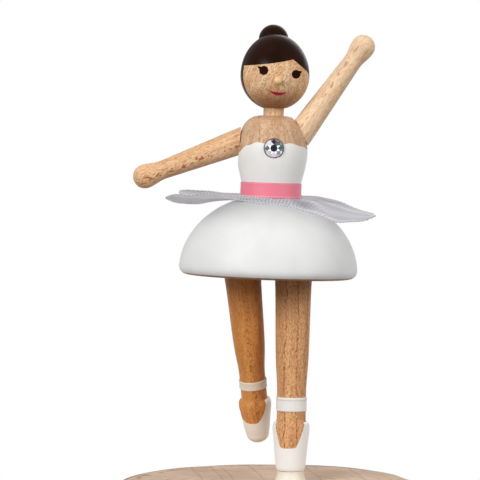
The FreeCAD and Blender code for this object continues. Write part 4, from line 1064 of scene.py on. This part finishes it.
dress(brass, "spindle_bush", "shaft_tube", "spring_barrel", "barrel_cover", "pinned_drum", "cylinder_pinion",
      "cylinder_wheel", "second_pinion", "second_wheel", "fly_pinion")
dress(steel, "drive_spindle", "bedplate", "bearing_plate", "governor_plate", "cylinder_post", "comb_block",
      "comb", "comb_screws", "movement_screws", "mainspring", "output_shaft", "winding_arbor", "winding_key",
      "cylinder_arbor", "second_arbor", "fly_arbor", "fly_blades")
dress(floor_wood, "movement_floor", "tray_floor")
dress(torso_wood, "spine_dowel", "raised_arm_peg", "lowered_arm_peg")
# The neck's wood is painted with the chin's shadow at its top.
dress(beech("neck_beech", torso, (234, 200, 162), (216, 174, 132), (150, 100, 60), (0.34, 1.2, 0.45),
            deep=(chin, 2.0, -0.4, 0.5)), "neck_dowel")
dress(hair_paint, "bun")
dress(collar_paint, "foot_collar")
dress(paint("nose_varnish", (238, 196, 142), 0.1, (222, 168, 106), 0.16, 0.6, 0.5, 0.1), "nose")


# Arms, turned again on their CAD profile with a finer mesh

SHOULDER, WRIST, HAND = 4.37 * MM, 3.1 * MM, 4.0 * MM
SLEEVE_START = 9 * MM
MITRE = 25
PEG_GAP = 0.03 * MM


def arm_radius(z, length):
    """Radius of an arm at a height: a tapered sleeve, a wrist and a round hand."""
    palm = length - HAND
    swell = HAND - WRIST
    if z > palm:
        return math.sqrt(max(0.0, HAND ** 2 - (z - palm) ** 2))
    sleeve = ((0.0, SHOULDER), (0.18 * length, 0.25 * WRIST + 0.75 * SHOULDER), (palm - 1.6 * HAND, WRIST))
    if z <= sleeve[-1][0]:
        return between(sleeve, z)
    hollow = ((palm - 1.6 * HAND, WRIST, 0.0),
              (palm - 1.2 * HAND, WRIST + 0.12 * swell, 0.55 * swell / HAND),
              (palm - 0.65 * HAND, WRIST + 0.65 * swell, 0.8 * swell / HAND),
              (palm, HAND, 0.0))
    for (z0, r0, slope0), (z1, r1, slope1) in zip(hollow, hollow[1:]):
        if z <= z1:
            t = (z - z0) / (z1 - z0)
            a, b = slope0 * (z1 - z0), slope1 * (z1 - z0)
            return r0 + a * t + (3 * (r1 - r0) - 2 * a - b) * t ** 2 + (2 * (r0 - r1) + a + b) * t ** 3


def turned_arm(name, node, place, length, look):
    """An arm as the CAD arm is: mitred where it meets the shoulder, with a ball for a hand."""
    columns, mitre_rows, sleeve_rows, hand_rows = 96, 6, 40, 16
    mitre = radians(MITRE)
    palm = length - HAND
    levels = [SLEEVE_START + (palm - SLEEVE_START) * n / sleeve_rows for n in range(sleeve_rows + 1)]
    levels += [palm + HAND * sin(pi / 2 * n / hand_rows) for n in range(1, hand_rows)]
    rings = mitre_rows + len(levels)
    vertices = []
    for r in range(rings):
        for angle in around(columns):
            z = levels[max(0, r - mitre_rows)]
            if r < mitre_rows:
                start = 0.0
                for _ in range(3):
                    overhang = arm_radius(start, length) * cos(angle) * sin(mitre)
                    start = (PEG_GAP - overhang) / cos(mitre)
                z = start + (z - start) * r / mitre_rows
            vertices.append(place @ polar(arm_radius(z, length), angle, z))
    faces = grid_faces(rings, columns)
    tip, root = len(vertices), len(vertices) + 1
    vertices += [place @ Vector((0, 0, length)), place @ Vector((0, 0, PEG_GAP / cos(mitre)))]
    last = (rings - 1) * columns
    for c in range(columns):
        d = (c + 1) % columns
        faces.append((last + c, last + d, tip))
        faces.append((d, c, root))
    made = piece(name, vertices, faces, [look], smooth_angle=40)
    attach(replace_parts(made, node), node)


# Each arm's node, length, three tones of wood, pits and flecks
ARMS = (
    ("raised_arm", 39.3, (250, 216, 180), (240, 202, 164), (196, 136, 84), (0.30, 1.5, 0.32),
     ((-1.1, 0.8, 2.0, 0.5), (1.9, 0.6, 3.4, 0.3))),
    ("lowered_arm", 37.7, (244, 200, 156), (230, 182, 136), (166, 102, 54), (0.32, 1.2, 0.38),
     ((-0.9, 1.5, 1.5, 0.9), (2.2, 0.7, 2.6, 0.4))),
)
for node, length, *wood in ARMS:
    joint = joints[node + "_turn"]
    place = along(joint["pos_m"], joint["axis"]) @ tilt(-MITRE, "Y")
    turned_arm("turned_" + node, node, place, length * MM, beech(node + "_beech", place, *wood))


# Stage: pale floor, soft studio light and the photograph's camera

SHADOW_REACH = (0.16, 0.40)
FLOOR_HALF = 6.0
LIT_SPOT = Vector((0, 0, 0.16))


def studio_floor():
    """A pale floor that runs out to white beyond the object's shadow."""
    look = Look("studio_floor")
    away = look.step(look.length(look.node("TexCoord").outputs["Object"]), *SHADOW_REACH)
    path = look.node("LightPath").outputs
    tone = look.mix(path["Is Diffuse Ray"], (0.86, 0.86, 0.86, 1), (0.12, 0.12, 0.12, 1))
    look.set(Base_Color=tone, Roughness=0.9, Specular_IOR_Level=0.0)
    mirrored = look.math("MAXIMUM", path["Is Glossy Ray"], path["Is Transmission Ray"])
    seen = look.math("MAXIMUM", path["Is Camera Ray"], mirrored)
    white = look.node("Emission", {"Color": WHITE, "Strength": 1.0}).outputs[0]
    look.surface("Material Output", look.shader.outputs[0], white, look.times(away, seen))
    corners = [(FLOOR_HALF * x, FLOOR_HALF * y, 0) for x, y in ((-1, -1), (1, -1), (1, 1), (-1, 1))]
    piece("studio_floor", corners, [(0, 1, 2, 3)], [look.material])


def studio_world():
    """White behind the object, and an even dome of light on it."""
    world = bpy.data.worlds.new("studio")
    scene.world = world
    look = Look("studio", world, "Background")
    look.set(Color=WHITE, Strength=1.0)
    path = look.node("LightPath").outputs
    seen = look.math("MAXIMUM", path["Is Camera Ray"], path["Is Transmission Ray"])
    dome = look.node("Background", {"Color": WHITE, "Strength": 0.55}).outputs[0]
    look.surface("World Output", dome, look.shader.outputs[0], seen)


def lamp(name, spot, watts, width):
    """A square soft box that faces the dancer's waist."""
    light = bpy.data.lights.new(name, "AREA")
    light.energy = watts
    light.size = width
    made = bpy.data.objects.new(name, light)
    made.location = spot
    made.rotation_euler = (LIT_SPOT - Vector(spot)).to_track_quat("-Z", "Y").to_euler()
    scene.collection.objects.link(made)


studio_floor()
studio_world()
lamp("key_light", (-0.62, -0.76, 0.56), 6.6, 0.40)
lamp("fill_light", (0.80, -0.62, 0.50), 3.6, 0.45)
lamp("back_light", (0.3, 0.8, 0.6), 1.5, 0.6)

lens = bpy.data.cameras.new("camera")
lens.sensor_fit = "HORIZONTAL"
lens.sensor_width = 36.0
lens.lens = lens.sensor_width * view_depth / FRAME_WIDTH
lens.clip_start = 0.01
camera = bpy.data.objects.new("camera", lens)
camera.matrix_world = shift(*CAMERA) @ view_turn.to_4x4()
scene.collection.objects.link(camera)
scene.camera = camera
scene.view_settings.view_transform = "Standard"
